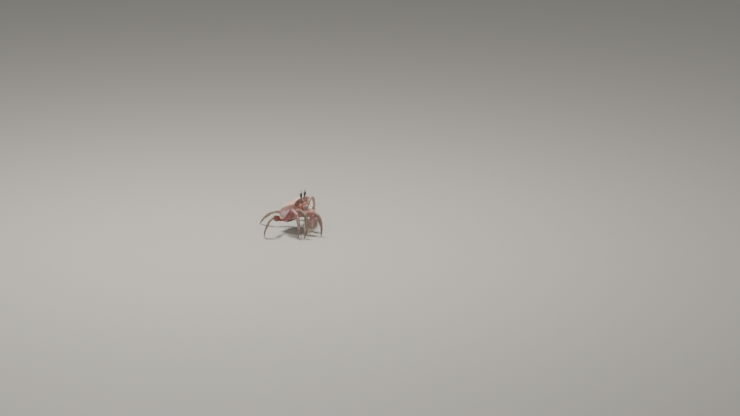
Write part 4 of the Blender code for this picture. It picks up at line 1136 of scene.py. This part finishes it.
# Profiles up the eye: height above its root and radius, in mm.
STALK = ((0.0, 0.8), (0.9, 1.15), (3.0, 0.95), (5.2, 1.0), (6.5, 1.3))
CORNEA = ((6.55, 0.9), (6.8, 1.3), (7.5, 1.62), (8.9, 1.88), (10.7, 1.82), (12.3, 1.42), (13.2, 0.9),
          (13.45, 0.5))
STYLUS = ((12.9, 0.6), (13.5, 0.78), (14.5, 0.72), (16.1, 0.52), (17.3, 0.30))
STRIP_WIDTH = ((5.9, 0.75), (7.5, 0.55), (10.0, 0.42), (12.5, 0.52), (13.9, 0.45))
STALK_RING, STALK_CUP, EYE_COLUMNS = 1.9, 6.2, 72
# In mm: how far the bulb bows out, from which height and over how long; where the strip leaves the
# stalk, how far out it lies before that, and its thickness; the horn's shift inward, the middle and
# pitch of its ribs, and where it rounds off.
EYE_BOW, EYE_FOOT, EYE_LONG = 0.10, 6.5, 7.0
STRIP_START, STRIP_INSIDE, STRIP_THICK = 6.8, 1.15, 0.14
HORN_SHIFT, HORN_RIBS, HORN_RIB_PITCH, HORN_ROUND = 0.35, 14.2, 0.5, 17.0
EYE_SOCKET = ((0.8, -12.9, 4.0), (1.8, -13.8, 3.4), (2.9, -14.7, 3.3), (3.7, -15.2, 3.8), (3.9, -15.3, 4.6))
FEELER = ((6.4, -16.6, 0.4), (7.3, -17.7, 1.8), (8.6, -18.6, 3.6), (10.2, -19.0, 5.6))

eye_finish = Finish("eye", coat=1.0, specular=0.6, roughness=0.16)
eye_finish.put("Coat Roughness", 0.04)
eye_cloud = eye_finish.between(eye_finish.noise(520, 3), 0.45, 0.7)
eye_tone = eye_finish.blend((0.012, 0.014, 0.022), (0.035, 0.04, 0.06), eye_cloud)
eye_finish.put("Base Color", eye_finish.blend(eye_tone, (0.10, 0.085, 0.075), eye_finish.field("band") * 0.6))
facets = eye_finish.node("TexVoronoi", {"feature": "F1"}, {"Vector": eye_finish.place, "Scale": 9000.0})
eye_finish.bump(1 - facets, 0.25, 0.00003)
stalk_finish = shell_finish("eye stalk", (0.34, 0.22, 0.19), (0.22, 0.12, 0.10), (0.10, 0.05, 0.045),
                            (0.52, 0.40, 0.34), coat=0.2)
horn_finish = shell_finish("horn", (0.46, 0.30, 0.25), (0.30, 0.17, 0.14), (0.15, 0.07, 0.06),
                           (0.60, 0.46, 0.38), coat=0.3)


def eye_bow(height):
    """How far the bulb stands out from the eye's axis, away from the strip, in mm."""
    return EYE_BOW * np.sin(math.pi * (height - EYE_FOOT) / EYE_LONG)


for label, side in SIDES.items():
    foot = on_side(EYE_ROOT, side)
    axis = unit(np.array(EYE_LEAN) * (side, 1, 1))
    inner = np.array((-side, 0.25, 0))
    inner = unit(inner - axis * (inner @ axis))
    ahead_of_eye = np.cross(axis, inner)
    angle = around(EYE_COLUMNS)[None, :]

    def upright(profile, count):
        """Heights and rings round the eye's axis through a (height, radius) profile."""
        share = 0.5 - 0.5 * np.cos(np.linspace(0, math.pi, count))
        height = profile[0][0] + (profile[-1][0] - profile[0][0]) * share
        radius = follow(profile, height)
        height = height[:, None]
        return height, ovals(foot + height * axis, EYE_COLUMNS, radius, inner, radius, ahead_of_eye)

    height, grid = upright(STALK, 70)
    cup = bell(height, STALK_CUP, 0.35) + 0 * angle
    ring = bell(height, STALK_RING, 0.22) + 0 * angle
    bumps = grains(grid, 0.45, 51 + side)
    grid = raised(grid, 0.035 * bumps + 0.14 * cup * (0.6 + 0.4 * np.cos(angle)) - 0.10 * ring)
    fields = {"grain": 0.6 * bumps, "groove": ring, "blush": 0.3 * cup}
    stalk = skin(f"eye_stalk_{label}", grid * MM, fields, stalk_finish)
    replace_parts(stalk, f"eyestalk_{label}")

    height, grid = upright(CORNEA, 64)
    grid = grid - inner * eye_bow(height)[..., None]
    band = bell(height, 6.9, 0.25) + 0 * angle
    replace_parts(skin(f"eye_bulb_{label}", grid * MM, {"band": band}, eye_finish), f"eye_{label}")

    # The strip of stalk that runs up the bulb's inner side to the horn.
    climb = np.linspace(STRIP_WIDTH[0][0], STRIP_WIDTH[-1][0], 72)
    lies = follow(CORNEA, np.clip(climb, STRIP_START, CORNEA[-2][0])) - eye_bow(climb)
    lies = np.where(climb < STRIP_START, STRIP_INSIDE, lies)
    line = foot + climb[:, None] * axis + lies[:, None] * inner
    bar = ovals(line, 28, STRIP_THICK, inner, follow(STRIP_WIDTH, climb), ahead_of_eye)
    bumps = grains(bar, 0.4, 55 + side)
    bar = raised(bar, 0.03 * bumps)
    fields = {"grain": 0.6 * bumps, "groove": 0.0, "blush": 0.2}
    skin(f"eye_strip_{label}", bar * MM, fields, stalk_finish)

    height, grid = upright(STYLUS, 60)
    grid = grid + inner * (HORN_SHIFT * stretch(height, 12.9, 13.6, 13.6, 15.5))[..., None]
    ribs = waves(height, HORN_RIB_PITCH) ** 2 * bell(height, HORN_RIBS, 0.9)
    bumps = grains(grid, 0.38, 58 + side)
    grid = raised(grid, 0.025 * bumps + 0.03 * ribs - 0.4 * np.clip(height - HORN_ROUND, 0, None))
    fields = {"grain": 0.5 * bumps, "groove": 0.25 * ribs, "blush": 0.1}
    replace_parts(skin(f"eye_horn_{label}_shell", grid * MM, fields, horn_finish), f"eye_horn_{label}")

    small_tube(f"eye_socket_{label}", side, EYE_SOCKET, (0.9, 0.95, 0.82, 0.95, 0.8), stalk_finish,
               pitch=1.1, relief=0.06, columns=40, rows=90)
    feeler = small_tube(f"feeler_{label}", side, FEELER, (0.66, 0.42, 0.29, 0.22), horn_finish,
                        pitch=0.42, relief=0.05, rows=150)
    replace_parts(feeler, f"antenna_{label}")

# ---- bristles ----
# Stiff amber hairs rooted in the shell: fringes along the shins and toes, short combs on the thighs
# and claws, a brush round the mouth and a sparse row under each side of the back.
# Each hair is a bent three-sided spike: where its rings stand along it, and how thick they are.
HAIR_RINGS = np.array((-0.10, 0.36, 0.72, 1.0))
HAIR_WIDTHS = np.array((1.0, 0.85, 0.55, 0.0))
HAIR_WIDTH, HAIR_SIDES, HAIR_TURN = 0.042, 3, 2.094
STRAY, DROOP, BEND = 0.35, 0.22, 0.50     # how much a hair strays, sags and bends along its lean
HAIR_BANDS = [(a + k, a + (k + 1) % 3, a + 3 + (k + 1) % 3, a + 3 + k) for a in (0, 3) for k in range(3)]
HAIR_POINT = [(6 + k, 6 + (k + 1) % 3, 9) for k in range(3)]
HAIR_FACES = [(0, 2, 1), *HAIR_BANDS, *HAIR_POINT]
PATCH = 0.003       # size of one hair's place on the unwrap

bristle_finish = Finish("bristle", coat=0.1, roughness=0.42)
bristle_tone = bristle_finish.blend((0.14, 0.085, 0.045), (0.46, 0.33, 0.19), bristle_finish.field("reach"))
bristle_finish.put("Base Color", bristle_tone)


class Brush:
    """Hairs gathered for one piece; cells is how many parts of the skin share its unwrap."""

    def __init__(self, cells):
        self.cells, self.hairs, self.places = cells, [], []

    def plant(self, points, row, column, lean, length, seed, cell, width=HAIR_WIDTH):
        """Hairs rooted at grid places, bending toward a direction."""
        picks = np.arange(len(row))
        stray = np.stack([chance(picks, seed, k) for k in range(3)], -1) - 0.5
        out = unit(outward(points)[row, column] + STRAY * stray)
        lean = np.broadcast_to(lean, out.shape)
        long = length * (0.6 + 0.6 * chance(picks, seed, 7))[:, None]
        wide = width * (0.8 + 0.4 * chance(picks, seed, 11))[:, None]
        across = unit(np.cross(out, lean + 1e-3))
        other = np.cross(out, across)
        verts = []
        for t, w in zip(HAIR_RINGS, HAIR_WIDTHS):
            middle = points[row, column] + long * (out * (t - DROOP * t * t) + lean * (BEND * t * abs(t)))
            for k in range(HAIR_SIDES if w else 1):
                spoke = across * math.cos(HAIR_TURN * k) + other * math.sin(HAIR_TURN * k)
                verts.append(middle + spoke * w * wide)
        self.hairs.append(np.stack(verts, 1))
        self.places.append(np.stack([(cell + 0.05 + 0.9 * row / points.shape[0]) / self.cells,
                                     0.02 + 0.96 * column / points.shape[1]], -1))

    def fringe(self, plate, angle, spread, first, last, spacing, length, seed, cell, width=HAIR_WIDTH):
        """Hairs along a limb plate, at an angle from its upper edge."""
        count = max(3, int((last - first) * plate.bone.length / spacing))
        picks = np.arange(count)
        share = first + (last - first) * (picks + 0.8 * chance(picks, seed, 1)) / count
        turn = angle + spread * (2 * chance(picks, seed, 2) - 1)
        rows, columns = plate.points.shape[:2]
        row = np.clip(np.searchsorted(plate.share[:, 0], share), 6, rows - 12)
        column = np.round(turn / (2 * math.pi) * columns - 0.5).astype(int) % columns
        self.plant(plate.points, row, column, plate.bone.along, length, seed, cell, width)

    def make(self, name):
        """One mesh of all the hairs, each unwrapped onto a small patch where it stands on the skin."""
        verts, places = np.concatenate(self.hairs), np.concatenate(self.places)
        count, size = verts.shape[:2]
        faces = [tuple(size * hair + k for k in face) for hair in range(count) for face in HAIR_FACES]
        mesh = bpy.data.meshes.new(name)
        mesh.from_pydata((verts.reshape(-1, 3) * MM).tolist(), [], faces)
        mesh.shade_smooth()
        reach = np.tile(np.repeat(HAIR_RINGS, (3, 3, 3, 1)), count).astype(np.float32)
        mesh.attributes.new("reach", "FLOAT", "POINT").data.foreach_set("value", reach)
        spots = [(k / 2 - 0.5, ring / 3 - 0.5) for ring in range(3) for k in range(3)]
        patch = np.array([*spots, (0, 0.5)]) * PATCH
        corners = np.empty(len(mesh.loops), np.int32)
        mesh.loops.foreach_get("vertex_index", corners)
        unwrap = mesh.uv_layers.new(name="OFBake")
        spread = places[corners // size] + patch[corners % size]
        unwrap.data.foreach_set("uv", spread.astype(np.float32).ravel())
        settle(bpy.data.objects.new(name, mesh), bristle_finish)


for name in STANCE:
    brush, seed = Brush(4), sum(map(ord, name))
    thigh, wrist, shin, toe = (plates[name, part] for part in ("merus", "carpus", "propodus", "dactylus"))
    brush.fringe(thigh, 0.0, 0.18, 0.25, 0.97, 0.55, 0.75, seed, 0)
    for angle in (-0.3, 0.3):
        brush.fringe(thigh, math.pi + angle, 0.16, 0.15, 0.95, 0.40, 0.85, seed + 1 + angle, 0)
    brush.fringe(wrist, 0.0, 0.6, 0.1, 0.95, 0.30, 0.70, seed + 3, 1)
    for k, angle in enumerate((0.25, -0.25, 0.0, math.pi + 0.2, math.pi - 0.2)):
        brush.fringe(shin, angle, 0.22, 0.05, 0.97, 0.30, 1.05, seed + 4 + k, 2)
    for k in range(6):
        brush.fringe(toe, 0.52 + k * math.pi / 3, 0.10, 0.04, 0.70, 0.40, 0.50, seed + 11 + k, 3, 0.034)
    brush.make(f"bristles_{name}")

for label in CLAWS:
    brush = Brush(3)
    arm, palm, finger = (plates["claw_" + label, part] for part in ("merus", "palm", "finger"))
    for k, angle in enumerate((0.0, 2.2, -2.2)):
        brush.fringe(arm, angle, 0.15, 0.1, 0.95, 0.40, 0.8, 71 + k, 0)
    brush.fringe(palm, math.pi, 0.12, 0.05, 0.90, 0.45, 0.55, 75, 1)
    for k, angle in enumerate((0.5, -0.5)):
        brush.fringe(palm, angle, 0.10, 0.58, 0.92, 0.40, 0.55, 76 + k, 1)
    brush.fringe(finger, 0.0, 0.5, 0.56, 0.85, 0.35, 0.5, 78, 2)
    brush.make(f"bristles_claw_{label}")

brush = Brush(4)
for k, (label, grid) in enumerate(mouth_grids.items()):
    rows, columns = grid.shape[:2]
    inner = 0 if label == "right" else columns // 2
    for j in range(3):
        row = np.linspace(12, rows - 12, 70).astype(int)
        column = (inner + (chance(row, j, k) * 7 - 3).astype(int)) % columns
        brush.plant(grid, row, column, (0, -0.45, -0.8), 0.75, 81 + j + k, k, 0.036)
    column = np.arange(columns)
    row = rows - 5 - (chance(column, k, 3) * 6).astype(int)
    brush.plant(grid, row, column, (0, -0.2, -0.9), 0.9, 87 + k, k, 0.036)
for k, edge in enumerate((wall_column, back_points.shape[1] - wall_column)):
    row = np.linspace(ahead + 22, back_points.shape[0] - behind - 6, 120).astype(int)
    column = edge + (chance(row, k, 5) * 7 - 3).astype(int)
    brush.plant(back_points, row, column, (0, 0.35, -0.85), 0.75, 91 + k, 2 + k)
brush.make("bristles_body")

# ---- camera ----
# The camera stands far off with a long lens and looks down at a low slant; its aim is set from the
# middle of the crab's body.
VIEW_AZIMUTH, VIEW_HEIGHT = math.radians(-62), math.radians(15)
VIEW_DISTANCE, LENS, SENSOR, FAR_CLIP = 8.94, 300, 36, 100
AIM_RIGHT, AIM_UP = 0.1128, 0.0341      # how far the view's middle lies from the crab's own middle

forward = Vector((-math.sin(VIEW_AZIMUTH) * math.cos(VIEW_HEIGHT),
                  math.cos(VIEW_AZIMUTH) * math.cos(VIEW_HEIGHT), -math.sin(VIEW_HEIGHT)))
rightward = Vector((math.cos(VIEW_AZIMUTH), math.sin(VIEW_AZIMUTH), 0))
upward = rightward.cross(forward)
aim = Vector((crab_x, crab_y, 0)) + rightward * AIM_RIGHT + upward * AIM_UP
camera = bpy.data.objects.new("camera", bpy.data.cameras.new("camera"))
camera.data.lens = LENS
camera.data.sensor_width = SENSOR
camera.data.clip_end = FAR_CLIP
camera.location = aim - forward * VIEW_DISTANCE
camera.rotation_euler = forward.to_track_quat("-Z", "Y").to_euler()
bpy.context.scene.collection.objects.link(camera)
bpy.context.scene.camera = camera
